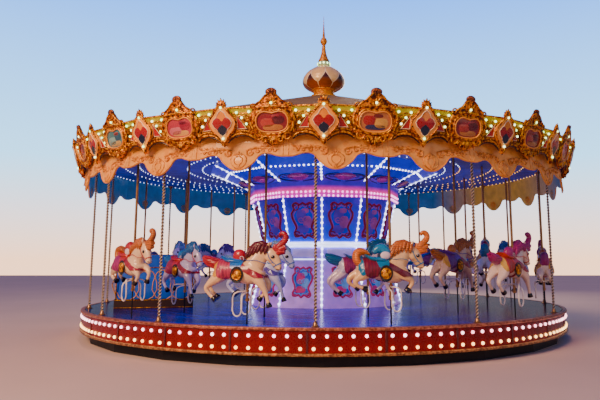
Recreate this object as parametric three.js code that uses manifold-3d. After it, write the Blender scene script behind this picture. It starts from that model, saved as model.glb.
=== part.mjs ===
// A fairground carousel with leaping horses, a carriage, a tapered centre drum,
// a carved crown and an onion dome with a spire.
// Millimetres, +Z up. The origin is on the ground, on the axis of the turntable.
// Angles count from the front (-Y) towards +X, the way the turntable runs.
import * as THREE from "three";
import { mergeVertices } from "three/addons/utils/BufferGeometryUtils.js";
import Module from "manifold-3d";

const wasm = await Module();
wasm.setup();

// Driving dimensions
const RADIUS = 5000; // outer edge of the platform trim
const BAYS = 12; // sectors of the platform, with a rim pole between neighbours
const MODULES = 22; // boards of the crown
const FIRST_POLE = -1.4; // angle of the rim pole at the front
const DECK_TOP = 550;
const DECK_THICK = 60;
const DECK_RADIUS = 4920;
const SKIRT_RADIUS = 4965;
const SKIRT_BOTTOM = 165;
const TRIM_HEIGHT = 40;
const CEILING = 3450; // underside of the ceiling
const CEILING_THICK = 20;
const CEILING_INNER = 2400;
const GAP = 0.3; // between pieces that touch
const RUNNING_GAP = 0.5; // at the pivot and round the rods

const BASE_TOP = 150;
const PLINTH_OUTER = 4850;
const PLINTH_INNER = 4700;
const PIVOT_RADIUS = 180;
const PIVOT_TOP = 400;
const SPOKES = 4;
const SPOKE_WIDTH = 120;
const SPOKE_DEPTH = 80;
const HUB_RADIUS = 600;
const BEAM_START = 500;
const BEAM_END = 4900;
const BEAM_DEPTH = 160;
const BEAM_WIDTH = 80;
const BRACKET_DEPTH = 140;
const OUTER_ROW = 4620;
const INNER_ROW = 3500;
const ROD_RADIUS = 13;
const ROD_ABOVE_DECK = 640;
const HORSE_POLE_RADIUS = 21;
const POLE_FOOT = 330; // lower end of a horse's pole above the deck, at no lift
const LOWEST_LIFT = -60; // a horse slides down to here, and up to 300 mm above that

const RIM_POLE_RADIUS = 27;
const RIM_POLE_CIRCLE = 4850;
const PAIR_SPREAD = 9.5; // the two poles beside the carriage stand this many degrees off

const CROWN_BOTTOM = 3268; // top of the arches in the lower edge
const CROWN_TOP = 3685;
const CROWN_BOTTOM_RADIUS = 5110;
const CROWN_TOP_RADIUS = 5227;
const CROWN_THICK = 40;
const CROWN_TIP = 145; // the carving hangs this far below the arches
const CREST_TOP = 690; // over an oval, measured up the leaning board from the arches
const CREST_THICK = 80;
const CREST_OUT = 70; // its face stands this far out from the board
const SHIELD_TOP = 590;
const SHIELD_THICK = 50;
const SHIELD_OUT = 15; // its face stands this far out from the joint
const VALANCE_TURN = 2; // the pendants sit a little ahead of the shields
const VALANCE_TOP_RADIUS = 4970;
const VALANCE_THICK = 20;
const PENDANT_RADIUS = 5030;
const PENDANT_BOTTOM = 2775;

const ROOF_TOP = 5215;
const ROOF_THICK = 30;
const NECK_RADIUS = 330;

const DRUM_WALL = 60;
const DRUM_FOOT_RADIUS = 1700;
const DRUM_WAIST_RADIUS = 1370;
const DRUM_SHOULDER_RADIUS = 1620;
const DRUM_TOP_RADIUS = 2600;
const WAIST = 1795; // middle of the white belt
const WAIST_HEIGHT = 60;
const BELT_BOTTOM = 2835;
const BELT_TOP = 3060;

const LEG_SIDE = 85; // from a horse's middle to each leg
const CARRIAGE_BAY = 9;
const CARRIAGE_MIDDLE = -3600;
const CARRIAGE_LENGTH = 1500;
const CARRIAGE_WIDTH = 1500;
const CARRIAGE_FLOOR = 180;
const CARRIAGE_WALL = 40;
const CARRIAGE_SPREAD = 700; // from the middle of the carriage to each wall

const half = Math.PI / MODULES;
const corner = 1 / Math.cos(half); // from the middle of a board to its edge
const radians = THREE.MathUtils.degToRad;

const part = new THREE.Group();

// Finishes
function finish(colour, roughness = 0.4, metalness = 0) {
  return new THREE.MeshStandardMaterial({ color: colour, roughness, metalness });
}

const red = () => finish(0xb01828, 0.3);
const gold = () => finish(0xc9973c, 0.35, 0.8);
const brass = () => finish(0xb98a4a, 0.3, 0.9);
const black = () => finish(0x16161a, 0.6);
const blue = () => finish(0x1c3fb8, 0.2);
const cream = () => finish(0xf0d9b0, 0.4);

// Solids
function solid(geometry) {
  const bare = new THREE.BufferGeometry();
  bare.setAttribute("position", geometry.getAttribute("position"));
  if (geometry.index) bare.setIndex(geometry.index);
  const merged = mergeVertices(bare, 1e-3);
  const triVerts = new Uint32Array(merged.index.array);
  const vertProperties = merged.attributes.position.array;
  const made = new wasm.Manifold(new wasm.Mesh({ numProp: 3, vertProperties, triVerts }));
  if (made.volume() > 0) return made;
  for (let i = 0; i < triVerts.length; i += 3) {
    [triVerts[i + 1], triVerts[i + 2]] = [triVerts[i + 2], triVerts[i + 1]];
  }
  return new wasm.Manifold(new wasm.Mesh({ numProp: 3, vertProperties, triVerts }));
}

function geometryOf(made) {
  const mesh = made.getMesh();
  const geometry = new THREE.BufferGeometry();
  geometry.setAttribute("position", new THREE.BufferAttribute(mesh.vertProperties, 3));
  geometry.setIndex(new THREE.BufferAttribute(mesh.triVerts, 1));
  return geometry;
}

function joined(geometries) {
  return geometries.map(solid).reduce((whole, piece) => whole.add(piece));
}

function add(name, geometry, material, place) {
  const mesh = new THREE.Mesh(geometry, material);
  mesh.name = name;
  if (place) {
    mesh.position.copy(place.position);
    mesh.rotation.z = place.turn;
  }
  part.add(mesh);
  return mesh;
}

// Where an angle and a radius are on the platform, with +X turned along the running direction
function placeAt(degrees, radius, z) {
  const turn = radians(degrees);
  const position = new THREE.Vector3(radius * Math.sin(turn), -radius * Math.cos(turn), z);
  return { position, turn };
}

function moved(geometry, place) {
  return geometry.rotateZ(place.turn).translate(place.position.x, place.position.y, place.position.z);
}

// A closed profile of [radius, z] points turned about the axis, its first corner at an angle
function turned(profile, segments, firstAngle = 0) {
  const points = profile.map(([radius, z]) => new THREE.Vector2(radius, z));
  const onAxis = profile[0][0] === 0;
  if (!onAxis) points.push(points[0].clone());
  return new THREE.LatheGeometry(points, segments, firstAngle).rotateX(Math.PI / 2);
}

function ring(inner, outer, bottom, top, segments, firstAngle = 0) {
  const profile = [[inner, bottom], [outer, bottom], [outer, top], [inner, top]];
  return turned(profile, segments, firstAngle);
}

function disc(radius, bottom, top, segments, firstAngle = 0) {
  return turned([[0, bottom], [radius, bottom], [radius, top], [0, top]], segments, firstAngle);
}

function upright(radius, bottom, top, sides = 8) {
  return new THREE.CylinderGeometry(radius, radius, top - bottom, sides)
    .rotateX(Math.PI / 2)
    .translate(0, 0, (bottom + top) / 2);
}

// A round bar that tapers from one point to another
function bar(from, to, radiusFrom, radiusTo, sides = 6) {
  const start = new THREE.Vector3(...from);
  const end = new THREE.Vector3(...to);
  const along = end.clone().sub(start);
  const turn = new THREE.Quaternion().setFromUnitVectors(
    new THREE.Vector3(0, 1, 0),
    along.clone().normalize(),
  );
  const middle = start.clone().add(end).multiplyScalar(0.5);
  return new THREE.CylinderGeometry(radiusTo, radiusFrom, along.length(), sides)
    .applyQuaternion(turn)
    .translate(middle.x, middle.y, middle.z);
}

// A flat plate cut to an outline of [across, up] points, facing -Y, its back at y = 0
function plate(outline, thickness) {
  const shape = new THREE.Shape(outline.map(([across, up]) => new THREE.Vector2(across, up)));
  return new THREE.ExtrudeGeometry(shape, { depth: thickness, bevelEnabled: false }).rotateX(
    Math.PI / 2,
  );
}

function mirrored(outline) {
  const other = outline.filter(([across]) => across > 0).map(([across, up]) => [-across, up]);
  return [...outline, ...other.reverse()];
}

// Base that stays on the ground: a plinth ring, and a pivot on spokes inside it
function base() {
  const segments = 24;
  const inside = PLINTH_INNER * Math.cos(Math.PI / segments) - GAP;
  add("plinth", ring(PLINTH_INNER, PLINTH_OUTER, 0, BASE_TOP, segments), black());
  const pieces = [
    disc(HUB_RADIUS, 0, BASE_TOP, 12),
    upright(PIVOT_RADIUS, BASE_TOP / 2, PIVOT_TOP, 12),
  ];
  const start = HUB_RADIUS / 2;
  for (let i = 0; i < SPOKES; i++) {
    const spoke = new THREE.BoxGeometry(SPOKE_WIDTH, inside - start, SPOKE_DEPTH);
    spoke.translate(0, -(inside + start) / 2, SPOKE_DEPTH / 2);
    // Each ends at the middle of a side of the plinth
    const side = 3.5 + (i * segments) / SPOKES;
    pieces.push(moved(spoke, placeAt((side * 360) / segments, 0, 0)));
  }
  add("ground_frame", geometryOf(joined(pieces)), black());
}

// Horses: bay of the platform, row, degrees ahead of the middle of the bay, lift at rest,
// whether the legs are tucked, and whether the head has a mane in place of a plume
const horses = [
  { bay: -1, row: OUTER_ROW, lead: 2.2, lift: 0, tucked: false, crested: false },
  { bay: 0, row: OUTER_ROW, lead: -1.2, lift: 20, tucked: true, crested: false },
  { bay: 1, row: OUTER_ROW, lead: 0, lift: 60, tucked: false, crested: false },
  { bay: 2, row: OUTER_ROW, lead: 0, lift: 0, tucked: true, crested: false },
  { bay: 3, row: OUTER_ROW, lead: 0, lift: 160, tucked: false, crested: true },
  { bay: 4, row: OUTER_ROW, lead: 0, lift: 40, tucked: true, crested: false },
  { bay: 5, row: OUTER_ROW, lead: 0, lift: 180, tucked: false, crested: true },
  { bay: 6, row: OUTER_ROW, lead: 0, lift: 30, tucked: true, crested: true },
  { bay: 7, row: OUTER_ROW, lead: 0, lift: 140, tucked: false, crested: true },
  { bay: 8, row: OUTER_ROW, lead: 0, lift: 60, tucked: true, crested: true },
  { bay: 10, row: OUTER_ROW, lead: 2.5, lift: 90, tucked: true, crested: false },
  { bay: -1, row: INNER_ROW, lead: 0, lift: 10, tucked: false, crested: true },
  { bay: 0, row: INNER_ROW, lead: -1.5, lift: 40, tucked: true, crested: true },
  { bay: 1, row: INNER_ROW, lead: 0, lift: 120, tucked: false, crested: false },
  { bay: 2, row: INNER_ROW, lead: 0, lift: 170, tucked: true, crested: true },
  { bay: 3, row: INNER_ROW, lead: 0, lift: 20, tucked: false, crested: false },
  { bay: 4, row: INNER_ROW, lead: 0, lift: 150, tucked: true, crested: true },
  { bay: 5, row: INNER_ROW, lead: 0, lift: 30, tucked: false, crested: false },
  { bay: 6, row: INNER_ROW, lead: 0, lift: 160, tucked: true, crested: true },
  { bay: 7, row: INNER_ROW, lead: 0, lift: 110, tucked: false, crested: true },
  { bay: 8, row: INNER_ROW, lead: 0, lift: 130, tucked: true, crested: true },
  { bay: 10, row: INNER_ROW, lead: 0, lift: 20, tucked: false, crested: true },
];

function bayAngle(bay) {
  const step = 360 / BAYS;
  return FIRST_POLE + (bay + 0.5) * step;
}

function horsePlace(horse, z) {
  return placeAt(bayAngle(horse.bay) + horse.lead, horse.row, z);
}

// Steel frame that turns: a beam under the middle of each bay, with the rods that the
// horses slide on and a bracket under each rod that stands beside its beam
function turntableFrame() {
  const top = DECK_TOP - DECK_THICK - GAP;
  const pieces = [
    ring(PIVOT_RADIUS + RUNNING_GAP, HUB_RADIUS, BASE_TOP + RUNNING_GAP, top, 12),
  ];
  for (let bay = 0; bay < BAYS; bay++) {
    const beam = new THREE.BoxGeometry(BEAM_WIDTH, BEAM_END - BEAM_START, BEAM_DEPTH);
    beam.translate(0, -(BEAM_START + BEAM_END) / 2, top - BEAM_DEPTH / 2);
    pieces.push(moved(beam, placeAt(bayAngle(bay), 0, 0)));
  }
  for (const horse of horses) {
    const rod = upright(ROD_RADIUS, top - BEAM_DEPTH / 2, DECK_TOP + ROD_ABOVE_DECK, 6);
    pieces.push(moved(rod, horsePlace(horse, 0)));
    if (horse.lead === 0) continue;
    const aside = horse.row * Math.sin(radians(horse.lead));
    const reach = Math.abs(aside) + BEAM_WIDTH / 2;
    const bracket = new THREE.BoxGeometry(reach, BEAM_WIDTH, BRACKET_DEPTH);
    bracket.translate((Math.sign(aside) * reach) / 2, -horse.row, top - BEAM_DEPTH / 2);
    pieces.push(moved(bracket, placeAt(bayAngle(horse.bay), 0, 0)));
  }
  add("turntable_frame", geometryOf(joined(pieces)), black());
}

function deck() {
  let floor = solid(disc(DECK_RADIUS, DECK_TOP - DECK_THICK, DECK_TOP, 36));
  for (const horse of horses) {
    const hole = upright(ROD_RADIUS + GAP, DECK_TOP - 2 * DECK_THICK, DECK_TOP + DECK_THICK, 6);
    floor = floor.subtract(solid(moved(hole, horsePlace(horse, 0))));
  }
  add("deck", geometryOf(floor), blue());
}

function skirt() {
  const inner = DECK_RADIUS + GAP;
  const low = SKIRT_BOTTOM + TRIM_HEIGHT;
  const high = DECK_TOP - TRIM_HEIGHT;
  const lip = 5; // the top trim stands this far above the deck
  add("skirt", ring(inner, SKIRT_RADIUS, low + GAP, high - GAP, 36), red());
  add("skirt_top_trim", ring(inner, RADIUS, high, DECK_TOP + lip, 36), gold());
  add("skirt_bottom_trim", ring(inner, RADIUS, SKIRT_BOTTOM, low, 36), gold());
}

// Rim poles, with a pair beside the carriage in place of one
function rimPoles() {
  const angles = [];
  for (let i = 0; i < BAYS; i++) {
    const angle = FIRST_POLE + (i * 360) / BAYS;
    const besideCarriage = i === CARRIAGE_BAY + 1;
    if (besideCarriage) angles.push(angle - PAIR_SPREAD, angle + PAIR_SPREAD);
    else angles.push(angle);
  }
  angles.forEach((angle, index) => {
    const name = "rim_pole_" + String(index + 1).padStart(2, "0");
    const pole = upright(RIM_POLE_RADIUS, DECK_TOP + GAP, CEILING - GAP);
    add(name, pole, brass(), placeAt(angle, RIM_POLE_CIRCLE, 0));
  });
}

// Centre drum of twelve-sided shells
function drum() {
  const first = radians(FIRST_POLE);
  const shell = (name, rows, material) => {
    const outside = rows.map(([radius, z]) => [radius, z]);
    const inside = rows.map(([radius, z]) => [radius - DRUM_WALL, z]).reverse();
    add(name, turned([...outside, ...inside], BAYS, first), material);
  };
  const low = WAIST - WAIST_HEIGHT / 2;
  const high = WAIST + WAIST_HEIGHT / 2;
  const foot = [DRUM_FOOT_RADIUS, DECK_TOP + GAP];
  const waist = DRUM_WAIST_RADIUS + 30;
  const shoulder = DRUM_SHOULDER_RADIUS;
  shell("drum_lower", [foot, [DRUM_WAIST_RADIUS, low - GAP]], finish(0x9a86d8));
  shell("drum_waist", [[waist, low], [waist, high]], finish(0xf4f4ff));
  shell("drum_upper", [[DRUM_WAIST_RADIUS, high + GAP], [shoulder, BELT_BOTTOM - GAP]], finish(0x3a48c8));
  shell("drum_belt", [[shoulder + 50, BELT_BOTTOM], [shoulder + 80, BELT_TOP]], finish(0xe858b0));
  shell(
    "drum_flare",
    [[shoulder + 70, BELT_TOP + GAP], [DRUM_TOP_RADIUS, CEILING - GAP]],
    finish(0x2c52c8),
  );
}

// Radius of the crown's inner face, at the middle of a board
function crownInside(z) {
  const share = (z - CROWN_BOTTOM) / (CROWN_TOP - CROWN_BOTTOM);
  return THREE.MathUtils.lerp(CROWN_BOTTOM_RADIUS, CROWN_TOP_RADIUS, share) - CROWN_THICK;
}

function ceiling() {
  const outer = (crownInside(CEILING) - GAP) * corner;
  const top = CEILING + CEILING_THICK;
  let plateRing = solid(ring(CEILING_INNER, outer, CEILING, top, MODULES));
  for (const horse of horses) {
    const hole = upright(HORSE_POLE_RADIUS + 7, CEILING - CEILING_THICK, top + CEILING_THICK, 6);
    plateRing = plateRing.subtract(solid(moved(hole, horsePlace(horse, 0))));
  }
  add("ceiling", geometryOf(plateRing), blue());
}

// Crown of leaning boards. Each has a carved board with an oval and a crest in its middle,
// and shields stand over the joints. Both hang in points below the arches of the lower edge.
function crown() {
  const lean = Math.atan2(CROWN_TOP_RADIUS - CROWN_BOTTOM_RADIUS, CROWN_TOP - CROWN_BOTTOM);
  const band = turned(
    [
      [crownInside(CROWN_BOTTOM) * corner, CROWN_BOTTOM],
      [CROWN_BOTTOM_RADIUS * corner, CROWN_BOTTOM],
      [CROWN_TOP_RADIUS * corner, CROWN_TOP],
      [crownInside(CROWN_TOP) * corner, CROWN_TOP],
    ],
    MODULES,
  );
  const crest = mirrored([
    [0, CREST_TOP],
    [90, 648],
    [100, 580],
    [240, 450],
    [300, 400],
    [270, 10],
    [150, -80],
    [0, -CROWN_TIP],
  ]);
  const shield = mirrored([
    [0, SHIELD_TOP],
    [75, 552],
    [105, 458],
    [205, 210],
    [140, 70],
    [45, -78],
    [0, -CROWN_TIP],
  ]);
  const pieces = [band];
  const stand = (geometry, angle, radius) =>
    moved(geometry.rotateX(lean), placeAt(angle, radius, CROWN_BOTTOM));
  for (let i = 0; i < MODULES; i++) {
    const step = 360 / MODULES;
    const crestPlate = plate(crest, CREST_THICK).translate(0, CREST_THICK - CREST_OUT, 0);
    const shieldPlate = plate(shield, SHIELD_THICK).translate(0, SHIELD_THICK - SHIELD_OUT, 0);
    pieces.push(stand(crestPlate, (i + 0.5) * step, CROWN_BOTTOM_RADIUS));
    pieces.push(stand(shieldPlate, i * step, CROWN_BOTTOM_RADIUS * corner));
  }
  add("crown_boards", geometryOf(joined(pieces)), gold());
}

// Valance that leans in from the ceiling, scalloped so that a pendant hangs from each side
function valance() {
  const top = CEILING - GAP;
  const seam = half + radians(VALANCE_TURN);
  const inside = [
    [PENDANT_RADIUS * corner, PENDANT_BOTTOM],
    [VALANCE_TOP_RADIUS * corner, top],
  ];
  const outside = inside.map(([radius, z]) => [radius + VALANCE_THICK, z]).reverse();
  let band = solid(turned([...inside, ...outside], MODULES, seam));
  // Rise of the lower edge, from a joint between two sides to the pendant
  const gap = mirrored([
    [0, 185],
    [255, 243],
    [370, 221],
    [455, 120],
    [540, 50],
    [605, 14],
    [690, 0],
    [690, -50],
  ]);
  const depth = 400;
  for (let i = 0; i < MODULES; i++) {
    const cutter = plate(gap, depth).translate(0, depth / 2, PENDANT_BOTTOM);
    const angle = (i + 0.5) * (360 / MODULES) + VALANCE_TURN;
    band = band.subtract(solid(moved(cutter, placeAt(angle, PENDANT_RADIUS, 0))));
  }
  add("valance", geometryOf(band), cream());
}

function roof() {
  const eave = crownInside(CROWN_TOP - ROOF_THICK) - GAP;
  const profile = [
    [0, ROOF_TOP - ROOF_THICK],
    [NECK_RADIUS, ROOF_TOP - ROOF_THICK],
    [eave * corner, CROWN_TOP - ROOF_THICK],
    [eave * corner, CROWN_TOP],
    [NECK_RADIUS, ROOF_TOP],
    [0, ROOF_TOP],
  ];
  add("roof", turned(profile, MODULES), finish(0x8a6430, 0.5));
}

// Dome and spire
function spire() {
  const sides = 12;
  const neck = [
    [0, ROOF_TOP + GAP],
    [NECK_RADIUS, ROOF_TOP + GAP],
    [NECK_RADIUS, 5260],
    [230, 5330],
    [300, 5400],
    [0, 5400],
  ];
  const dome = [
    [0, 5400 + GAP],
    [330, 5400 + GAP],
    [470, 5500],
    [495, 5620],
    [430, 5770],
    [280, 5900],
    [150, 5990],
    [0, 5990],
  ];
  const lamps = [[0, 5990 + GAP], [125, 5990 + GAP], [150, 6040], [125, 6090], [0, 6090]];
  const top = [
    [0, 6090 + GAP],
    [130, 6090 + GAP],
    [60, 6300],
    [38, 6515],
    [75, 6560],
    [84, 6600],
    [75, 6640],
    [32, 6690],
    [8, 7225],
    [0, 7225],
  ];
  add("dome_neck", turned(neck, sides), gold());
  add("dome", turned(dome, sides), cream());
  add("spire_lamp_ring", turned(lamps, sides), finish(0xd8f8d0));
  add("spire", turned(top, sides), gold());
}

// A closed body along a spine in the XZ plane. Each row is [x, z, slope, half width, half height].
function lofted(rows, sides, y = 0) {
  const last = rows.length - 1;
  const geometry = new THREE.CylinderGeometry(1, 1, last, sides, last);
  const position = geometry.getAttribute("position");
  for (let i = 0; i < position.count; i++) {
    const row = Math.round(last / 2 - position.getY(i));
    const [x, z, slope, wide, high] = rows[row];
    const across = position.getX(i) * wide;
    const up = position.getZ(i) * high;
    const tilt = radians(slope);
    position.setXYZ(i, x - up * Math.sin(tilt), y + across, z + up * Math.cos(tilt));
  }
  return geometry;
}

// Legs as hip, knee or hock, and hoof, in the XZ plane: two fore and two hind, near side first
const leapingLegs = [
  [[150, 760], [290, 525], [365, 275]],
  [[150, 760], [350, 615], [450, 360]],
  [[-450, 760], [-672, 525], [-510, 290]],
  [[-450, 760], [-710, 575], [-605, 330]],
];
const tuckedLegs = [
  [[150, 760], [325, 570], [262, 405]],
  [[150, 760], [400, 630], [372, 410]],
  [[-450, 760], [-665, 580], [-495, 440]],
  [[-450, 760], [-705, 610], [-545, 430]],
];

// A horse on its pole, looking along +X, with z = 0 on the deck
function horseSolid(tucked, crested) {
  const trunk = lofted(
    [
      [-620, 812, 0, 75, 85],
      [-500, 800, 0, 148, 150],
      [-120, 785, 0, 145, 158],
      [110, 805, 25, 140, 180],
      [215, 950, 60, 92, 150],
      [270, 1100, 60, 66, 125],
      [360, 1095, -20, 60, 100],
      [430, 920, -60, 60, 92],
      [495, 795, -72, 34, 34],
    ],
    6,
  );
  const legs = (tucked ? tuckedLegs : leapingLegs).map(([hip, knee, hoof], index) => {
    const side = index % 2 ? LEG_SIDE : -LEG_SIDE;
    return lofted([[...hip, 90, 75, 90], [...knee, 80, 38, 46], [...hoof, 90, 40, 46]], 4, side);
  });
  const tail = bar([-540, 0, 860], [-775, 0, 945], 70, 32, 5);
  const pommel = bar([-95, 0, 900], [-185, 0, 1085], 75, 62, 5);
  const cantle = bar([-380, 0, 900], [-455, 0, 1010], 100, 60, 5);
  const forelock = [bar([300, 0, 1160], [445, 0, 1050], 45, 25, 5)];
  const plume = [
    bar([400, 0, 1050], [575, 0, 1120], 50, 88, 6),
    bar([550, 0, 1150], [560, 0, 1345], 45, 42, 4),
  ];
  const headdress = crested ? forelock : plume;
  const poleTop = CEILING + CEILING_THICK + 15 - LOWEST_LIFT - DECK_TOP;
  const pole = upright(HORSE_POLE_RADIUS, POLE_FOOT, poleTop, 6);
  const boreTop = ROD_ABOVE_DECK - LOWEST_LIFT + 30;
  const bore = upright(ROD_RADIUS + RUNNING_GAP, POLE_FOOT - 30, boreTop, 6);
  return joined([trunk, ...legs, tail, pommel, cantle, ...headdress, pole]).subtract(solid(bore));
}

function horseSet() {
  horses.forEach((horse, index) => {
    const name = "horse_" + String(index + 1).padStart(2, "0");
    const shape = geometryOf(horseSolid(horse.tucked, horse.crested));
    add(name, shape, cream(), horsePlace(horse, DECK_TOP + horse.lift));
  });
}

// Carriage with a bench, open above its low front
function carriage() {
  const place = placeAt(bayAngle(CARRIAGE_BAY), 0, DECK_TOP);
  const at = (geometry) => moved(geometry, place);
  const wall = CARRIAGE_WALL;
  const bottom = CARRIAGE_FLOOR + 2 * GAP; // of the walls, which stand on the floor
  const across = 2 * CARRIAGE_SPREAD;
  const floor = new THREE.BoxGeometry(CARRIAGE_LENGTH, CARRIAGE_WIDTH, CARRIAGE_FLOOR);
  floor.translate(0, CARRIAGE_MIDDLE, CARRIAGE_FLOOR / 2 + GAP);
  add("carriage_floor", at(floor), finish(0x3a2018, 0.5));
  const sideOutline = [
    [-720, 0],
    [700, 0],
    [740, 560],
    [620, 610],
    [480, 520],
    [380, 400],
    [-150, 400],
    [-420, 620],
    [-640, 900],
    [-760, 880],
    [-740, 500],
  ];
  const sides = [-1, 1].map((way) =>
    plate(sideOutline, wall).translate(0, CARRIAGE_MIDDLE + way * CARRIAGE_SPREAD + wall / 2, bottom),
  );
  const ends = [[-1, 860], [1, 590]].map(([way, height]) =>
    new THREE.BoxGeometry(wall, across, height)
      .translate(way * CARRIAGE_SPREAD, CARRIAGE_MIDDLE, bottom + height / 2),
  );
  add("carriage_body", at(geometryOf(joined([...sides, ...ends]))), blue());
  const seatLength = 480;
  const seatHeight = 340;
  const seatWidth = 1330;
  const seat = new THREE.BoxGeometry(seatLength, seatWidth, seatHeight);
  const seatStart = wall / 2 + 10 - CARRIAGE_SPREAD;
  seat.translate(seatStart + seatLength / 2, CARRIAGE_MIDDLE, bottom + GAP + seatHeight / 2);
  add("carriage_seat", at(seat), red());
}

base();
turntableFrame();
deck();
skirt();
rimPoles();
drum();
ceiling();
crown();
valance();
roof();
spire();
horseSet();
carriage();

export default part;
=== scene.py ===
# Finished looks of a fairground carousel over its CAD frame.
# Lists of points are in millimetres; helpers turn them into metres. +Z is up.
# Angles count from the front (-Y) towards +X, the way the turntable runs.
import math
from contextlib import contextmanager

import bpy
from mathutils import Matrix, Vector


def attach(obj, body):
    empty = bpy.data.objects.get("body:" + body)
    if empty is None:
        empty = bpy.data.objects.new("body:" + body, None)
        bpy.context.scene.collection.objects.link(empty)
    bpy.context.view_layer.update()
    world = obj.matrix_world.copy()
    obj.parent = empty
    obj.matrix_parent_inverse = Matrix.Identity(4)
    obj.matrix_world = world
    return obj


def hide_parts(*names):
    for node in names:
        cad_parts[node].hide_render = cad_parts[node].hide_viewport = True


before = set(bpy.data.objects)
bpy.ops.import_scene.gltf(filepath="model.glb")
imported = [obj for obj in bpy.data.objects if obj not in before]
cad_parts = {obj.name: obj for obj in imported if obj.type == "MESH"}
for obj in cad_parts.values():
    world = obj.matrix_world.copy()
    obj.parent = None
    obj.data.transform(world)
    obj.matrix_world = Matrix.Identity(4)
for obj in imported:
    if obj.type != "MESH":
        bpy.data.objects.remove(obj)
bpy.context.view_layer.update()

MM = 0.001
BAYS = 12
MODULES = 22
BAY = 360 / BAYS
FIRST_POLE = -1.4
RIM_CIRCLE = 4850
STEP = 360 / MODULES
CORNER = 1 / math.cos(math.pi / MODULES)
DECK = 550
SKIRT_PANELS = 28
SKIRT_START = -2.7  # degrees to the first joint between panels
CEILING = 3450
VALANCE_TOP = 4970  # radius of the plates in the middle of a side, at the ceiling
VALANCE_LOW = 5030
CROWN_BOTTOM = 3268
CROWN_TOP = 3685
CROWN_LOW = 5110  # radius of the boards' face in the middle of a side, at CROWN_BOTTOM
CROWN_HIGH = 5227
CROWN_LEAN = math.atan2(CROWN_HIGH - CROWN_LOW, CROWN_TOP - CROWN_BOTTOM)


# Selecting, placing and joining


def take(*pieces):
    bpy.ops.object.select_all(action="DESELECT")
    for piece in pieces:
        piece.select_set(True)
    bpy.context.view_layer.objects.active = pieces[0]


def settle(piece):
    take(piece)
    bpy.ops.object.transform_apply(location=True, rotation=True, scale=True)
    return piece


def joined(pieces):
    take(*pieces)
    if len(pieces) > 1:
        bpy.ops.object.join()
    return bpy.context.object


def twin(piece, matrix):
    copy = piece.copy()
    copy.data = piece.data.copy()
    copy.data.transform(matrix)
    if matrix.determinant() < 0:
        copy.data.flip_normals()
    bpy.context.collection.objects.link(copy)
    return copy


def drop(*pieces):
    for piece in pieces:
        bpy.data.objects.remove(piece)


def shift(x, y, z):
    return Matrix.Translation((x * MM, y * MM, z * MM))


def facing(angle, radius, z, lean=0.0):
    """The place of a piece that was made facing -Y; a positive lean tips its top outwards."""
    turn = Matrix.Rotation(math.radians(angle), 4, "Z")
    return turn @ shift(0, -radius, z) @ Matrix.Rotation(lean, 4, "X")


def spread(pattern, places):
    """Copies of a pattern at each place, as one piece. The pattern goes."""
    copies = [twin(pattern, place) for place in places]
    drop(pattern)
    return joined(copies)


def coat(piece, material):
    piece.data.materials.clear()
    piece.data.materials.append(material)
    return piece


def coated(pieces, material):
    return [coat(piece, material) for piece in pieces]


def smooth(piece, degrees=35):
    take(piece)
    bpy.ops.object.shade_smooth_by_angle(angle=math.radians(degrees))
    return piece


@contextmanager
def editing(piece):
    """Edit mode with the whole piece selected."""
    take(piece)
    bpy.ops.object.mode_set(mode="EDIT")
    bpy.ops.mesh.select_all(action="SELECT")
    yield
    bpy.ops.object.mode_set(mode="OBJECT")


def tidy_normals(piece):
    with editing(piece):
        bpy.ops.mesh.remove_doubles(threshold=0.00002)
        bpy.ops.mesh.normals_make_consistent(inside=False)
    return piece


def applied(piece, kind, **facts):
    take(piece)
    modifier = piece.modifiers.new(kind.title(), kind)
    for key, value in facts.items():
        setattr(modifier, key, value)
    bpy.ops.object.modifier_apply(modifier=modifier.name)
    return piece


# Shapes


def outline_curve(loop, depth, bevel, steps):
    bpy.ops.curve.primitive_bezier_circle_add()
    piece = bpy.context.object
    shape = piece.data
    shape.splines.clear()
    spline = shape.splines.new("BEZIER")
    spline.bezier_points.add(len(loop) - 1)
    for point, spot in zip(spline.bezier_points, loop):
        point.co = (spot[0] * MM, spot[1] * MM, 0)
        kind = "VECTOR" if len(spot) > 2 else "AUTO"
        point.handle_left_type = point.handle_right_type = kind
    spline.use_cyclic_u = True
    shape.dimensions = "2D"
    shape.fill_mode = "BOTH"
    shape.resolution_u = steps
    shape.extrude = (depth / 2 - bevel) * MM
    shape.bevel_depth = bevel * MM
    shape.bevel_resolution = 1
    shape.offset = -bevel * MM
    return piece


def board(loop, depth, bevel=0.0, steps=4):
    """A flat piece cut to a loop of (across, up) points, facing -Y, its back at y = 0.
    A third number in a point makes it a sharp corner."""
    take(outline_curve(loop, depth, bevel, steps))
    bpy.ops.object.convert(target="MESH")
    piece = bpy.context.object
    piece.data.transform(Matrix.Rotation(math.pi / 2, 4, "X"))
    return tidy_normals(moved(piece, 0, -depth / 2, 0))


def strand(points, sides=6, steps=3, closed=False, smoothed=True):
    """A tube through (x, y, z, radius) points. sides is 4, 6, 8 or more."""
    bpy.ops.curve.primitive_bezier_curve_add()
    piece = bpy.context.object
    shape = piece.data
    shape.splines.clear()
    spline = shape.splines.new("BEZIER")
    spline.bezier_points.add(len(points) - 1)
    for point, (x, y, z, radius) in zip(spline.bezier_points, points):
        point.co = (x * MM, y * MM, z * MM)
        point.radius = radius * MM
        kind = "AUTO" if smoothed else "VECTOR"
        point.handle_left_type = point.handle_right_type = kind
    spline.use_cyclic_u = closed
    shape.dimensions = "3D"
    shape.resolution_u = steps if smoothed else 1
    shape.bevel_depth = 1.0
    shape.bevel_resolution = (sides - 4) // 2
    shape.use_fill_caps = not closed
    take(piece)
    bpy.ops.object.convert(target="MESH")
    return smooth(tidy_normals(bpy.context.object), 60)


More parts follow.
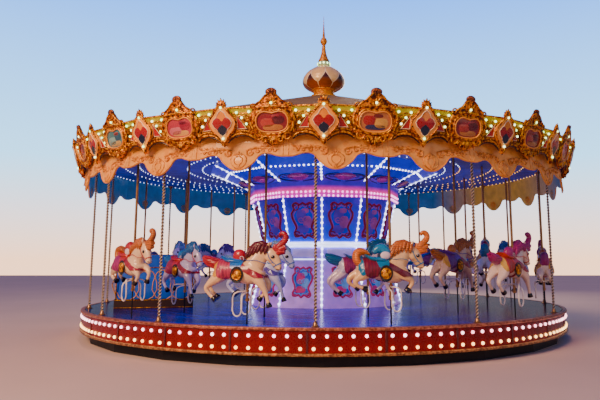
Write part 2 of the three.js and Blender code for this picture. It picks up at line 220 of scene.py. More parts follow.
def swept(points, way=1, sides=6, steps=3):
    """A strand on one side of the middle, through points of x, distance outwards, z and radius."""
    return strand([(way * x, -out, z, radius) for x, out, z, radius in points], sides, steps)


def tilt(degrees, centre):
    """Turns what is selected about a line along Y."""
    if degrees:
        turn = math.radians(degrees)
        bpy.ops.transform.rotate(value=turn, orient_axis="Y", center_override=centre)


def loft(rows, sides):
    """A body along a spine in the XZ plane. A row is x, z, slope, half width, half height."""
    bpy.ops.mesh.primitive_circle_add(vertices=sides, radius=1, rotation=(0, math.pi / 2, 0))
    piece = settle(bpy.context.object)
    old, old_slope, old_wide, old_high = Vector((0, 0, 0)), 0.0, 1.0, 1.0
    with editing(piece):
        for count, (x, z, slope, wide, high) in enumerate(rows):
            if count:
                bpy.ops.mesh.extrude_region_move(TRANSFORM_OT_translate={"value": (0, 0, 0)})
            spot, wide, high = Vector((x * MM, 0, z * MM)), wide * MM, high * MM
            tilt(-old_slope, old)
            bpy.ops.transform.resize(value=(1, wide / old_wide, high / old_high), center_override=old)
            bpy.ops.transform.translate(value=spot - old)
            tilt(slope, spot)
            old, old_slope, old_wide, old_high = spot, slope, wide, high
        bpy.ops.mesh.select_all(action="SELECT")
        bpy.ops.mesh.fill_holes(sides=0)
        bpy.ops.mesh.normals_make_consistent(inside=False)
    return piece


def lathe(profile, sides, turn=0.0, closed=False):
    """(radius, z) points turned about the axis. A closed profile comes back to its first point."""
    at_axis = 0.01
    rows = [(max(radius, at_axis), z) for radius, z in profile]
    if closed:
        rows.append(rows[0])
    start, low = rows[0]
    bpy.ops.mesh.primitive_circle_add(vertices=sides, radius=start * MM, location=(0, 0, low * MM))
    piece = settle(bpy.context.object)
    piece.data.transform(Matrix.Rotation(math.radians(turn), 4, "Z"))
    with editing(piece):
        for (r_from, z_from), (r_to, z_to) in zip(rows, rows[1:]):
            rise = (0, 0, (z_to - z_from) * MM)
            bpy.ops.mesh.extrude_region_move(TRANSFORM_OT_translate={"value": rise})
            grow = r_to / r_from
            if grow != 1:
                centre = (0, 0, z_to * MM)
                bpy.ops.transform.resize(value=(grow, grow, 1), center_override=centre)
        bpy.ops.mesh.select_all(action="SELECT")
        bpy.ops.mesh.remove_doubles(threshold=0.0001)
        bpy.ops.mesh.normals_make_consistent(inside=False)
    return piece


def ball(radius, segments=8, rings=4, stretch=(1, 1, 1)):
    bpy.ops.mesh.primitive_uv_sphere_add(
        segments=segments, ring_count=rings, radius=radius * MM, scale=stretch
    )
    return smooth(settle(bpy.context.object), 90)


def moved(piece, x=0, y=0, z=0):
    piece.data.transform(shift(x, y, z))
    return piece


# Materials


def rgb(code):
    parts = [int(code[i : i + 2], 16) / 255 for i in (0, 2, 4)]
    linear = [p / 12.92 if p <= 0.04045 else ((p + 0.055) / 1.055) ** 2.4 for p in parts]
    return (*linear, 1)


class Look:
    """A Principled surface with patterns that read Object coordinates. Colours are hex codes."""

    def __init__(self, name, metal=0.0, gloss=0.0, specular=0.5):
        self.material = bpy.data.materials.new(name)
        self.material.use_nodes = True
        self.nodes = self.material.node_tree.nodes
        self.surface = self.nodes["Principled BSDF"].inputs
        self.surface["Metallic"].default_value = metal
        self.surface["Coat Weight"].default_value = gloss
        self.surface["Specular IOR Level"].default_value = specular
        self.place = self.add("ShaderNodeTexCoord").outputs["Object"]

    def add(self, kind, **facts):
        node = self.nodes.new(kind)
        for key, value in facts.items():
            setattr(node, key, value)
        return node

    def feed(self, socket, value):
        if isinstance(value, bpy.types.NodeSocket):
            self.material.node_tree.links.new(value, socket)
        else:
            socket.default_value = rgb(value) if isinstance(value, str) else value

    def maths(self, operation, *values):
        node = self.add("ShaderNodeMath", operation=operation)
        for socket, value in zip(node.inputs, values):
            self.feed(socket, value)
        return node.outputs[0]

    def noise(self, scale, detail=3.0):
        node = self.add("ShaderNodeTexNoise")
        self.feed(node.inputs["Vector"], self.place)
        node.inputs["Scale"].default_value = scale
        node.inputs["Detail"].default_value = detail
        return node.outputs["Fac"]

    def ramp(self, value, low, high, start=0.0, end=1.0):
        """From low at the start to high at the end."""
        node = self.add("ShaderNodeMapRange")
        for socket, number in zip(node.inputs, (value, start, end, low, high)):
            self.feed(socket, number)
        return node.outputs[0]

    def step(self, value, start, end):
        return self.ramp(value, 0.0, 1.0, start, end)

    def seam(self, distance, start, end):
        """A line where the distance from the middle, either way, passes start and end."""
        return self.step(self.maths("ABSOLUTE", distance), start, end)

    def blend(self, share, low, high, kind="MIX"):
        node = self.add("ShaderNodeMix", data_type="RGBA", blend_type=kind)
        for socket, value in zip((0, 6, 7), (share, low, high)):
            self.feed(node.inputs[socket], value)
        return node.outputs[2]

    def axes(self):
        node = self.add("ShaderNodeSeparateXYZ")
        self.feed(node.inputs[0], self.place)
        return node.outputs

    def polar(self, sides, first=0.0):
        """Degrees from the middle of a side, and the number of the side."""
        x, y, _ = self.axes()
        angle = self.maths("ARCTAN2", x, self.maths("MULTIPLY", y, -1.0))
        degrees = self.maths("MULTIPLY", angle, 180 / math.pi)
        step = 360 / sides
        share = self.maths("DIVIDE", self.maths("SUBTRACT", degrees, first), step)
        side = self.maths("FLOOR", share)
        inside = self.maths("SUBTRACT", self.maths("SUBTRACT", share, side), 0.5)
        return self.maths("MULTIPLY", inside, step), side

    def paint(self):
        return self.add("ShaderNodeAttribute", attribute_name="paint").outputs["Color"]

    def bump(self, height, strength, distance):
        node = self.add("ShaderNodeBump")
        node.inputs["Strength"].default_value = strength
        node.inputs["Distance"].default_value = distance
        self.feed(node.inputs["Height"], height)
        self.feed(self.surface["Normal"], node.outputs[0])

    def wear(self, colour, scale=5.0, rough=(0.3, 0.5), depth=0.1, contrast=0.18):
        """Uneven paint: colour, gloss and surface vary a little."""
        fine = self.noise(scale * 13, 5.0)
        shade = self.ramp(self.noise(scale), 1 - contrast, 1 + contrast, 0.3, 0.7)
        toned = self.blend(1.0, colour, shade, "MULTIPLY")
        self.feed(self.surface["Base Color"], toned)
        self.feed(self.surface["Roughness"], self.ramp(fine, *rough, 0.3, 0.7))
        if depth:
            self.bump(fine, depth, 0.004)
        return toned

    def glow(self, colour, strength):
        self.feed(self.surface["Emission Color"], colour)
        self.feed(self.surface["Emission Strength"], strength)
        return self.material


def valance_cream():
    """Peach enamel with a random mottle of deeper gilt orange."""
    look = Look("valance_cream", gloss=0.2)
    gilding = look.ramp(look.noise(9, 4.0), 0.0, 0.55, 0.5, 0.62)
    look.wear(look.blend(gilding, "ffb24c", "ea8a0c"), 6, (0.35, 0.5), 0.1)
    return look.material


def valance_inside():
    """The inner side: teal, and amber where the right rear lamps light it."""
    look = Look("valance_inside", gloss=0.2)
    x, y, _ = look.axes()
    amber = look.maths("MULTIPLY", look.step(x, 3.2, 4.2), look.step(y, -1.5, 1.0))
    colour = look.blend(amber, "04588c", "b08030")
    # The glow on the inner side is painted light from the lamps inside the ride.
    return look.glow(look.wear(colour, 6, (0.35, 0.5), 0.05), 0.35)


def plain(name, code, metal=0.0, gloss=0.0, glow=0.0, **facts):
    look = Look(name, metal, gloss)
    toned = look.wear(code, **facts)
    return look.glow(toned, glow) if glow else look.material


def carved(name, light, dark, metal=0.5):
    """Gilt carving: a light and a dark gold in a fine random mottle, over a bumped surface."""
    look = Look(name, metal)
    colour = look.blend(look.step(look.noise(24, 4.0), 0.42, 0.6), dark, light)
    look.wear(colour, 7, (0.28, 0.5), 0.0)
    look.bump(look.noise(38, 5.0), 0.6, 0.02)
    return look.material


def lamp(name, code, strength, other):
    """Lamps that vary between two colours."""
    look = Look(name)
    colour = look.blend(look.step(look.noise(9), 0.35, 0.65), code, other)
    look.feed(look.surface["Base Color"], colour)
    look.surface["Roughness"].default_value = 0.2
    return look.glow(colour, strength)


def from_paint(name, metal=0.0, gloss=0.0, **facts):
    look = Look(name, metal, gloss)
    look.wear(look.paint(), **facts)
    return look.material


def lit_enamel():
    """Painted work on the drum, with a glow of painted light from the lamps round it."""
    look = Look("lit_enamel", specular=0.2)
    # The glow is painted light from the drum's lamps.
    return look.glow(look.wear(look.paint(), 6, (0.3, 0.45), 0.05), 0.32)


def belt_paint():
    """Magenta and rose, fading into the blue of the flare above."""
    look = Look("drum_pink")
    height = look.axes()[2]
    colour = look.blend(look.step(height, 2.75, 2.88), "c81cc0", "ec3a9c")
    colour = look.blend(look.step(height, 2.89, 2.98), colour, "3408a8")
    # The belt's glow is painted light from the drum's lamps.
    return look.glow(look.wear(colour, 6, (0.25, 0.4), 0.05), 0.8)


def hair():
    look = Look("horse_hair", gloss=0.3)
    wave = look.add("ShaderNodeTexWave", bands_direction="Z")
    look.feed(wave.inputs["Vector"], look.place)
    for key, value in (("Scale", 11), ("Distortion", 7), ("Detail", 2)):
        wave.inputs[key].default_value = value
    grooves = wave.outputs["Fac"]
    # The grooves between the locks are darkened towards black: painted shade.
    colour = look.blend(look.ramp(grooves, 0.45, 0.0), look.paint(), (0.02, 0.01, 0.02, 1))
    look.wear(colour, 8, (0.25, 0.4), 0.0)
    look.bump(grooves, 0.35, 0.012)
    return look.material


def cloth():
    """Pleats that run up the cloth, darkened in their troughs as painted shade."""
    look = Look("horse_cloth", gloss=0.2)
    x, y, _ = look.axes()
    around = look.maths("ARCTAN2", x, look.maths("MULTIPLY", y, -1.0))
    height = look.step(look.maths("SINE", look.maths("MULTIPLY", around, 620.0)), -1.0, 1.0)
    # The troughs of the pleats are darkened: painted shade.
    colour = look.blend(look.ramp(height, 0.35, 0.0), look.paint(), (0.03, 0.01, 0.02, 1))
    look.wear(colour, 9, (0.35, 0.55), 0.0)
    look.bump(height, 0.5, 0.006)
    return look.material


def deck_planks():
    """Boards that run across each bay, with a joint between the bays."""
    look = Look("deck_planks", specular=0.06)
    board_width = 0.14
    x, y, _ = look.axes()
    degrees, bay = look.polar(BAYS, FIRST_POLE)
    squares = look.maths("ADD", look.maths("MULTIPLY", x, x), look.maths("MULTIPLY", y, y))
    cosine = look.maths("COSINE", look.maths("MULTIPLY", degrees, math.pi / 180))
    out = look.maths("MULTIPLY", look.maths("SQRT", squares), cosine)
    share = look.maths("DIVIDE", out, board_width)
    number = look.maths("FLOOR", share)
    inside = look.maths("SUBTRACT", look.maths("SUBTRACT", share, number), 0.5)
    joint = look.maths("MAXIMUM", look.seam(inside, 0.46, 0.49), look.seam(degrees, 14.85, 14.95))
    tone = look.add("ShaderNodeTexWhiteNoise", noise_dimensions="2D")
    pair = look.add("ShaderNodeCombineXYZ")
    look.feed(pair.inputs[0], number)
    look.feed(pair.inputs[1], bay)
    look.feed(tone.inputs["Vector"], pair.outputs[0])
    blues = look.blend(tone.outputs["Value"], "040c78", "081cc4")
    # The boards to the left lie in shade, those to the right in amber light
    blues = look.blend(look.ramp(x, 0.85, 0.0, -4.2, -1.6), blues, "1c0c28")
    blues = look.blend(look.ramp(x, 0.0, 0.95, 0.9, 3.2), blues, "4c0e16")
    toned = look.wear(look.blend(joint, blues, "040620"), 3, (0.14, 0.3), 0.0)
    look.bump(joint, -0.4, 0.004)
    # The glow is painted light, as from the drum's lamps falling on the boards.
    return look.glow(toned, 0.2)


def crown_band():
    """Gilt band, with painted yellow-green light and glow along its top."""
    look = Look("crown_band", 0.45)
    top = look.step(look.axes()[2], 3.50, 3.62)
    bottom = look.blend(look.step(look.noise(20, 4.0), 0.4, 0.6), "6e3206", "cd8426")
    look.wear(look.blend(top, bottom, "b39a12"), 6, (0.3, 0.5), 0.0)
    look.bump(look.noise(30, 5.0), 0.6, 0.02)
    # The glow along the top is painted light.
    return look.glow("b8a80c", look.maths("MULTIPLY", top, 0.35))


def drum_paint(name, low, high, bottom, top, glow, middle):
    """Panels whose colour changes from the bottom to the top and a little from side to side, with a glow of
    painted lamp light.
    """
    look = Look(name, specular=0.2)
    colour = look.blend(look.step(look.axes()[2], bottom, top), low, high)
    swirl = look.ramp(look.noise(2.4, 2.0), 0.0, 0.7, 0.45, 0.62)
    toned = look.wear(look.blend(swirl, colour, middle), 6, (0.25, 0.4), 0.05)
    return look.glow(toned, glow)


def skirt_paint():
    """Red panels with darker seams and uneven varnish."""
    look = Look("skirt_red", 0.0, 0.15, 0.3)
    seam = look.seam(look.polar(SKIRT_PANELS, SKIRT_START)[0], 6.28, 6.36)
    colour = look.blend(look.step(look.axes()[2], 0.2, 0.5), "860702", "780007")
    look.wear(look.blend(seam, colour, "2c0203"), 4, (0.2, 0.4), 0.0)
    look.bump(seam, -0.6, 0.004)
    return look.material


def dome_paint():
    """Cream petals that come down in points over brown ones."""
    look = Look("dome_petals", 0.1, 0.5)
    petals = 8
    height = look.axes()[2]
    degrees = look.polar(petals, 5.0)[0]
    across = look.maths("DIVIDE", look.maths("ABSOLUTE", degrees), 180 / petals)
    rise = look.maths("POWER", look.step(height, 5.49, 5.74), 0.7)
    gap = look.maths("SUBTRACT", rise, across)
    outline = look.ramp(look.maths("ABSOLUTE", gap), 1.0, 0.0, 0.05, 0.09)
    browns = look.blend(look.step(height, 5.42, 5.6), "c25c04", "4c1c04")
    colour = look.blend(look.step(gap, -0.02, 0.02), browns, "ffd084")
    look.wear(look.blend(outline, colour, "fbe6bd"), 6, (0.25, 0.45), 0.05)
    return look.material


def ceiling_paint():
    look = Look("ceiling_blue", specular=0.1)
    seam = look.seam(look.polar(BAYS, FIRST_POLE)[0], 14.6, 14.9)
    colour = look.blend(look.step(look.noise(0.7, 1.0), 0.35, 0.65), "061690", "0c30d0")
    toned = look.wear(look.blend(seam, colour, "06105a"), 5, (0.3, 0.5), 0.05)
    # The ceiling's glow is painted light from the ride's lamps.
    return look.glow(toned, 0.16)


def roof_paint():
    look = Look("roof_brown")
    seam = look.seam(look.polar(MODULES)[0], 7.9, 8.1)
    colour = look.blend(look.step(look.noise(5.0, 6.0), 0.3, 0.7), "7e5c1a", "9c7628")
    look.wear(look.blend(seam, colour, "5a3a16"), 3, (0.5, 0.7), 0.2, 0.08)
    return look.material


GILT = carved("gilt", "ff9200", "4c1800")
LEAF = carved("gilt_leaf", "ffb404", "883400", 0.45)
ROSE = carved("gilt_rose", "b4602c", "4a1a0a", 0.45)
CREAM = plain("cream_enamel", "ffaa34", gloss=0.4)
PALE = plain("pale_enamel", "ffe2b4", gloss=0.4)
VALANCE = valance_cream()
RELIEF = carved("valance_relief", "ffb04a", "c8741c", 0.1)
TEAL = valance_inside()
BRASS = plain("brass", "b08050", 0.85, scale=9, rough=(0.25, 0.45))
TWIST = from_paint("pole_twist", 0.55, 0.2, scale=9, rough=(0.25, 0.4), depth=0.05)
ENAMEL = from_paint("enamel", gloss=0.5, rough=(0.2, 0.4), depth=0.05)
BODY = from_paint("horse_gloss", gloss=0.6, scale=3, rough=(0.2, 0.35), depth=0.03, contrast=0.08)
LIT = lit_enamel()
HAIR = hair()
CLOTH = cloth()
BAND = crown_band()
FOOTREST = plain("footrest_cream", "fff2e4", gloss=0.4, scale=9)
# The carriage's faint glow is painted light.
CARRIAGE_BLUE = plain("carriage_blue", "0c5cd0", gloss=0.4, glow=0.05)
WHITE_LAMP = lamp("lamp_white", "f4f2ff", 4.0, "cfd6ff")
PINK_LAMP = lamp("lamp_pink", "ffd0d8", 5.0, "ff9eb0")
WARM_LAMP = lamp("lamp_warm", "ffd28a", 5.0, "ffb060")
LIME_LAMP = lamp("lamp_lime", "eaffc8", 4.0, "b8ff9a")
LED = lamp("led_white", "dfe4ff", 2.4, "b8c2ff")
CEILING_LAMP = lamp("lamp_ceiling", "eef2ff", 2.6, "b8ccff")
YELLOW_LAMP = lamp("lamp_yellow", "ffd060", 2.2, "ffa838")


def paint(piece, code):
    """Gives every corner of a piece one colour, for the materials that read it."""
    layer = piece.data.color_attributes.get("paint")
    if layer is None:
        layer = piece.data.color_attributes.new("paint", "FLOAT_COLOR", "POINT")
    layer.data.foreach_set("color", list(rgb(code)) * len(piece.data.vertices))
    return piece


def enamelled(piece, code):
    return paint(coat(piece, ENAMEL), code)


def lit(piece, code):
    return paint(coat(piece, LIT), code)


# Finished pieces and lamps


def finish(piece, name, body, nodes=()):
    piece.name = piece.data.name = name
    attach(piece, body)
    if nodes:
        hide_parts(*nodes)


def refinish(node, material):
    """A new material for a CAD piece that keeps its shape."""
    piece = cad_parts[node]
    piece.data.materials.clear()
    piece.data.materials.append(material)


def bulbs(name, places, radius, material):
    """Small round lamps at (x, y, z) places."""
    pattern = coat(ball(radius), material)
    finish(spread(pattern, [shift(*place) for place in places]), name, "turntable")


def ring_point(angle, radius, z):
    turn = math.radians(angle)
    return radius * math.sin(turn), -radius * math.cos(turn), z


# Crown


def mirrored(outline):
    back = [(-spot[0], *spot[1:]) for spot in reversed(outline) if spot[0] > 0]
    return outline + back


def crown_places(offset):
    radius = CROWN_LOW * (1 if offset else CORNER)
    return [facing((i + offset) * STEP, radius, CROWN_BOTTOM, CROWN_LEAN) for i in range(MODULES)]


def leaf(length, width, degrees, x, out, z, curl=0.25):
    """A pointed leaf that rises from a place, leaning that many degrees towards +X."""
    rows = [(0, 0.35), (0.25, 0.9), (0.5, 1.0), (0.75, 0.7), (1.0, 0.08)]
    piece = swept([(0, curl * length * s * s, s * length, w * width / 2) for s, w in rows], steps=2)
    piece.data.transform(Matrix.Rotation(math.radians(degrees), 4, "Y"))
    return moved(piece, x, -out, z)


def fan(count, spread_degrees, length, width, x, z, out, up=0.0, curl=0.25):
    """Leaves that fan out from one place, the middle one the longest."""
    pieces = []
    for i in range(count):
        share = i / (count - 1) - 0.5
        long = length * (1 - 0.7 * abs(share))
        pieces.append(leaf(long, width, share * spread_degrees + up, x, out, z, curl))
    return pieces


def scroll(x, z, size, way, radius, out, turns=1.3, start=0.0):
    """A flat spiral of carving; way is 1 or -1."""
    points = []
    count = 11
    for i in range(count):
        share = i / (count - 1)
        angle = start + way * share * turns * 2 * math.pi
        reach = size * (1 - 0.8 * share)
        spot = (x + reach * math.cos(angle), out, z + reach * math.sin(angle))
        points.append((*spot, radius * (1 - 0.4 * share)))
    return swept(points, steps=2)


def oval_loop(wide, high, z, notch=0.0):
    """A rounded outline, notched at the top and a little pointed at the bottom."""
    loop = [(0, z + high - notch)]
    loop += [(wide * 0.45, z + high), (wide * 0.85, z + high * 0.72), (wide, z)]
    loop += [(wide * 0.85, z - high * 0.72), (wide * 0.45, z - high), (0, z - high * 1.04)]
    return mirrored(loop)


def patches_on(patches, finished, out, size=1.0):
    """Soft patches of colour, as (x, z, half width, half height, colour)."""
    pieces = []
    for x, z, wide, high, code in patches:
        patch = smooth(board(oval_loop(wide * size, high * size, 0), 6, 2, steps=2))
        pieces.append(finished(moved(patch, x * size, -out, z * size), code))
    return pieces


def rim(loop, radius, out, sides=6, steps=2):
    """A round moulding along a loop."""
    return strand([(x, -out, z, radius) for x, z in loop], sides, steps, closed=True)


def crown_oval():
    """The carved board in the middle of each side: bell, rosette, oval frame and garland."""
    back = [(0, 470), (190, 452), (268, 415), (296, 330), (290, 90), (220, -25), (110, -95), (0, -140)]
    bell = [(0, 640), (70, 612), (104, 562), (150, 505), (232, 452), (268, 405), (200, 385), (0, 392)]
    lintel = [(-272, 52, 402, 15), (0, 60, 428, 20), (272, 52, 402, 15)]
    gable = [(262, 54, 418, 13), (225, 58, 462, 14), (150, 60, 512, 14), (104, 60, 565, 13)]
    gable.append((48, 56, 606, 12))
    garland = [(292, 34, 350, 18), (322, 40, 260, 21), (304, 40, 150, 19), (268, 40, 60, 10)]
    boards = [board(mirrored(back), 46, 10), board(mirrored(bell), 58, 18)]
    leaves = [rim(oval_loop(262, 170, 205, 26), 21, 50), swept(lintel)]
    for way in (-1, 1):
        start = 0 if way < 0 else math.pi
        leaves += [swept(gable, way), swept(garland, way)]
        leaves.append(scroll(way * 272, 424, 50, -way, 15, 42, start=start))
        leaves.append(scroll(way * 215, 12, 70, way, 17, 46, start=start))
        leaves.append(scroll(way * 110, -52, 54, -way, 16, 50, start=start))
    leaves += fan(7, 150, 130, 40, 0, 440, 46)
    leaves += fan(7, 160, 105, 44, 0, -12, 48, 180)
    rosette = [moved(ball(58, 14, 8, (1.5, 0.55, 1.05)), 0, -30, 628)]
    rosette += fan(7, 230, 66, 40, 0, 618, 46)
    lining = rim(oval_loop(236, 146, 205, 24), 12, 60)
    pieces = coated([smooth(piece) for piece in boards], GILT)
    pieces += coated(leaves, LEAF) + coated(rosette, ROSE) + coated([lining], CREAM)
    return joined(pieces)


def crown_picture(ground, patches):
    """What fills an oval: a ground and soft patches."""
    plate = smooth(board(oval_loop(240, 148, 205, 24), 12, 3))
    return joined([enamelled(moved(plate, 0, -40, 0), ground)] + patches_on(patches, enamelled, 50))


PICTURES = {
    "rose": ("c23a4c", [
        (-80, 160, 110, 56, "d8707a"), (95, 225, 90, 60, "a01c38"),
        (10, 120, 150, 40, "d89a4a"), (60, 275, 70, 26, "8c2440"),
    ]),
    "brown": ("c87a3a", [
        (-90, 220, 90, 66, "a82018"), (85, 180, 100, 70, "d8a040"),
        (0, 120, 150, 36, "2a2c58"), (40, 285, 70, 24, "7a2010"),
    ]),
    "dark": ("8c1c24", [
        (-70, 190, 100, 60, "b43a2c"), (90, 230, 90, 56, "5c1020"),
        (10, 120, 150, 40, "b8742c"), (50, 280, 60, 24, "a0303c"),
    ]),
    "teal": ("4a8088", [
        (-80, 170, 110, 60, "8ab0a8"), (90, 225, 90, 60, "2c5c74"),
        (10, 120, 150, 40, "c8a45c"), (60, 275, 70, 26, "a8483c"),
    ]),
}
PICTURE_ORDER = ["brown", "dark", "dark", "rose", "teal", "rose", "brown", "dark", "teal", "rose", "dark"]


def crown_kite():
    """The kite-shaped shield over each joint, with its three-coloured heart and a shell on top."""
    back = mirrored([
        (0, 462), (62, 422), (140, 322), (220, 222), (216, 166), (146, 64), (74, -8), (28, -84), (0, -142),
    ])
    point, side, foot = (156, 205, 1), (76, 100), (0, 12, 1)
    heart = mirrored([(0, 388, 1), (82, 292), point, side, foot])
    lobes = mirrored([(0, 232), (52, 280), (110, 266), point, side, (0, 184, 1)])
    navy = mirrored([(0, 184, 1), side, foot])
    collar = [(132, 34, 340, 12), (96, 40, 400, 20), (48, 34, 444, 16), (0, 34, 458, 12)]
    pieces = [
        coat(moved(smooth(board(back, 66, 12)), 0, 30, 0), CREAM),
        coat(rim([(x * 0.97, z) for x, z in back], 13, 30), GILT),
        enamelled(moved(smooth(board(heart, 10, 2)), 0, -33, 0), "f08a10"),
        enamelled(moved(smooth(board(lobes, 8, 2)), 0, -40, 0), "a80c12"),
        enamelled(moved(board(navy, 8, 2), 0, -43, 0), "0a1a34"),
        coat(rim([spot[:2] for spot in heart], 8, 44, 4), PALE),
        coat(moved(ball(64, 16, 8, (1.3, 0.5, 1.05)), 0, -12, 462), GILT),
    ]
    leaves = [moved(ball(34, 12, 8, (1.1, 0.6, 1)), 0, -23, 470)]
    leaves += fan(9, 210, 128, 50, 0, 446, 2, 0, 0.05)
    leaves += fan(5, 130, 66, 32, 0, -62, 42, 180)
    leaves += [swept(collar, way, steps=2) for way in (-1, 1)]
    return joined(pieces + coated(leaves, LEAF))


def crown_arches():
    """What lies between an oval and the kites beside it, seen from the middle of the side:
    the arched lower edge with a painted shadow under it, red spandrels with cream edges, and leaves."""
    arch = [(676, -60, 12), (622, -6, 18), (540, 34, 20), (440, 42, 20), (350, 22, 18), (290, -20, 14)]
    above = [(690, -20, 8), (610, 50, 13), (500, 84, 15), (400, 78, 13), (300, 50, 8)]
    vine = [(560, 318, 10), (440, 250, 14), (360, 160, 13), (320, 84, 8)]
    pieces = []
    for way in (-1, 1):
        # A dark brown strand just under each arch is a painted shadow.
        shade = [(x, 4, z - 30, radius * 0.75) for x, z, radius in arch]
        pieces.append(enamelled(swept(shade, way, steps=2), "2a0d04"))
        spandrel = [(way * 524, 296, 1), (way * 524, 112, 1), (way * 390, 112, 1)]
        pieces.append(enamelled(board(spandrel, 16, 3), "b81c14"))
        pieces.append(coat(rim([spot[:2] for spot in spandrel], 12, 14, 4, 1), PALE))
        lines = [[(x, 12, z, radius) for x, z, radius in line] for line in (arch, above, vine)]
        leaves = [swept(line, way, steps=2) for line in lines]
        leaves += fan(3, 80, 84, 38, way * 330, 40, 14, -way * 35)
        leaves += fan(3, 70, 64, 28, way * 480, 30, 14)
        leaves += fan(3, 90, 70, 30, way * 330, 250, 12, way * 60)
        pieces += coated(leaves, LEAF)
    return joined(pieces)


def crown_mouldings():
    """The lit band round the crown, with three gilt mouldings."""
    rings = [
        (CROWN_LOW - 40, CROWN_BOTTOM), (CROWN_LOW, CROWN_BOTTOM),
        (CROWN_HIGH, CROWN_TOP), (CROWN_HIGH - 40, CROWN_TOP),
    ]
    pieces = [coat(crown_ring(rings), BAND)]
    for z, out in ((3672, 16), (3592, 10), (3560, 8)):
        radius = CROWN_LOW + (z - CROWN_BOTTOM) * math.tan(CROWN_LEAN)
        rows = [(radius + out, z - out * 0.6), (radius + out, z + out * 0.6)]
        rows = [(radius - 6, z - out), *rows, (radius - 6, z + out)]
        pieces.append(coat(crown_ring(rows), LEAF))
    return pieces


def crown_ring(rows):
    return lathe([(radius * CORNER, z) for radius, z in rows], MODULES, closed=True)


def crown_lights(middles, corners):
    spots = [(place, (0, y, z)) for place in corners for y, z in ((-37, 430), (-50, -22))]
    for place in middles:
        spots.append((place, (0, -66, 474)))
        for x, z in ((530, 350), (345, 356), (457, 272), (388, 182)):
            spots += [(place, (way * x, -16, z)) for way in (-1, 1)]
    places = [tuple(place @ (Vector(spot) * MM) / MM) for place, spot in spots]
    bulbs("crown_bulbs", places, 20, LIME_LAMP)


def crown():
    middles, corners = crown_places(0.5), crown_places(0)
    band = crown_mouldings() + [spread(crown_arches(), middles)]
    finish(joined(band), "crown_band", "turntable", ["crown_boards"])
    finish(spread(crown_kite(), corners), "crown_kites", "turntable")
    ovals = [spread(crown_oval(), middles)]
    order = [PICTURE_ORDER[i % len(PICTURE_ORDER)] for i in range(MODULES)]
    for hue, (ground, patches) in PICTURES.items():
        places = [place for place, chosen in zip(middles, order) if chosen == hue]
        ovals.append(spread(crown_picture(ground, patches), places))
    finish(joined(ovals), "crown_ovals", "turntable")
    crown_lights(middles, corners)


# Valance


def valance_plate(edge, height):
    """A scalloped plate, cream outside and lit teal inside."""
    half_top = VALANCE_TOP * math.tan(math.pi / MODULES)
    plate = board(mirrored(edge + [(half_top, height, 1)]), 20, 3, steps=3)
    plate.data.materials.append(VALANCE)
    plate.data.materials.append(TEAL)
    for polygon in plate.data.polygons:
        polygon.material_index = 1 if polygon.normal.y > 0.5 else 0
    return smooth(plate)


def valance_relief(face):
    """Carving round the pendant, and a garland with scrolls and leaves to each side of it."""
    garland = [(110, 22, 300, 12), (260, 24, 336, 17), (420, 22, 326, 16), (620, 22, 300, 10)]
    pieces = [rim(face, 11, 24), rim([(x * 0.55, z * 0.6 + 62) for x, z in face], 8, 36)]
    pieces += fan(7, 230, 84, 30, 0, 215, 22)
    pieces += fan(5, 130, 54, 24, 0, 84, 30, 180)
    for way in (-1, 1):
        start = 0 if way > 0 else math.pi
        pieces.append(scroll(way * 165, 276, 60, -way, 16, 22, start=start))
        pieces.append(swept(garland, way, steps=2))
        for count in range(4):
            x = way * (285 + count * 92)
            turning = way if count % 2 else -way
            pieces.append(scroll(x, 296, 38, turning, 13, 22, 1.1, count * 0.8))
            pieces.append(leaf(80, 38, way * 70, x + way * 16, 18, 336))
        pieces.append(swept([(684, 21, 200, 6), (680, 21, 430, 6)], way, 4, 1))
    return coated(pieces, RELIEF)


def valance():
    low, high = 2775, CEILING - 2
    lean = math.atan2(VALANCE_TOP - VALANCE_LOW, high - low)
    edge = [(0, 0), (48, 4), (90, 14), (157, 50), (243, 120), (328, 221), (443, 243), (560, 206), (640, 188)]
    edge.append((VALANCE_LOW * math.tan(math.pi / MODULES), 185, 1))
    trim = [(x, 21, z + 12, 9) for x, z, *_ in edge]
    trim = [(-x, *rest) for x, *rest in reversed(trim[1:])] + trim
    face = mirrored([(0, 30), (70, 62), (116, 130), (108, 205), (0, 250)])
    pieces = [valance_plate(edge, (high - low) / math.cos(lean))]
    pieces += coated([swept(trim), smooth(board(face, 34, 12))], CREAM)
    pieces += valance_relief(face)
    places = [facing(i * STEP + 2, VALANCE_LOW, low, lean) for i in range(MODULES)]
    finish(spread(joined(pieces), places), "valance_scallops", "turntable", ["valance"])


# Drum


def apothem(radius):
    return radius * math.cos(math.pi / BAYS)

# Lower and upper edges of the drum's parts, as (radius, z) at its corners
DRUM = {
    "drum_lower": ((1700, 550), (1370, 1765)),
    "drum_upper": ((1370, 1825), (1620, 2835)),
    "drum_flare": ((1690, 3060), (2600, 3450)),
}


def drum_places(radius, z, lean=0.0):
    """The middle of each side of the drum."""
    return [facing(FIRST_POLE + (i + 0.5) * BAY, radius, z, lean) for i in range(BAYS)]


def on_drum(pattern, name, radius, z, node):
    """Copies of a pattern on every side, leaning as that part of the drum does."""
    (low_radius, low), (top_radius, top) = DRUM[node]
    lean = math.atan2(apothem(top_radius - low_radius), top - low)
    finish(spread(pattern, drum_places(apothem(radius), z, lean)), name, "turntable")


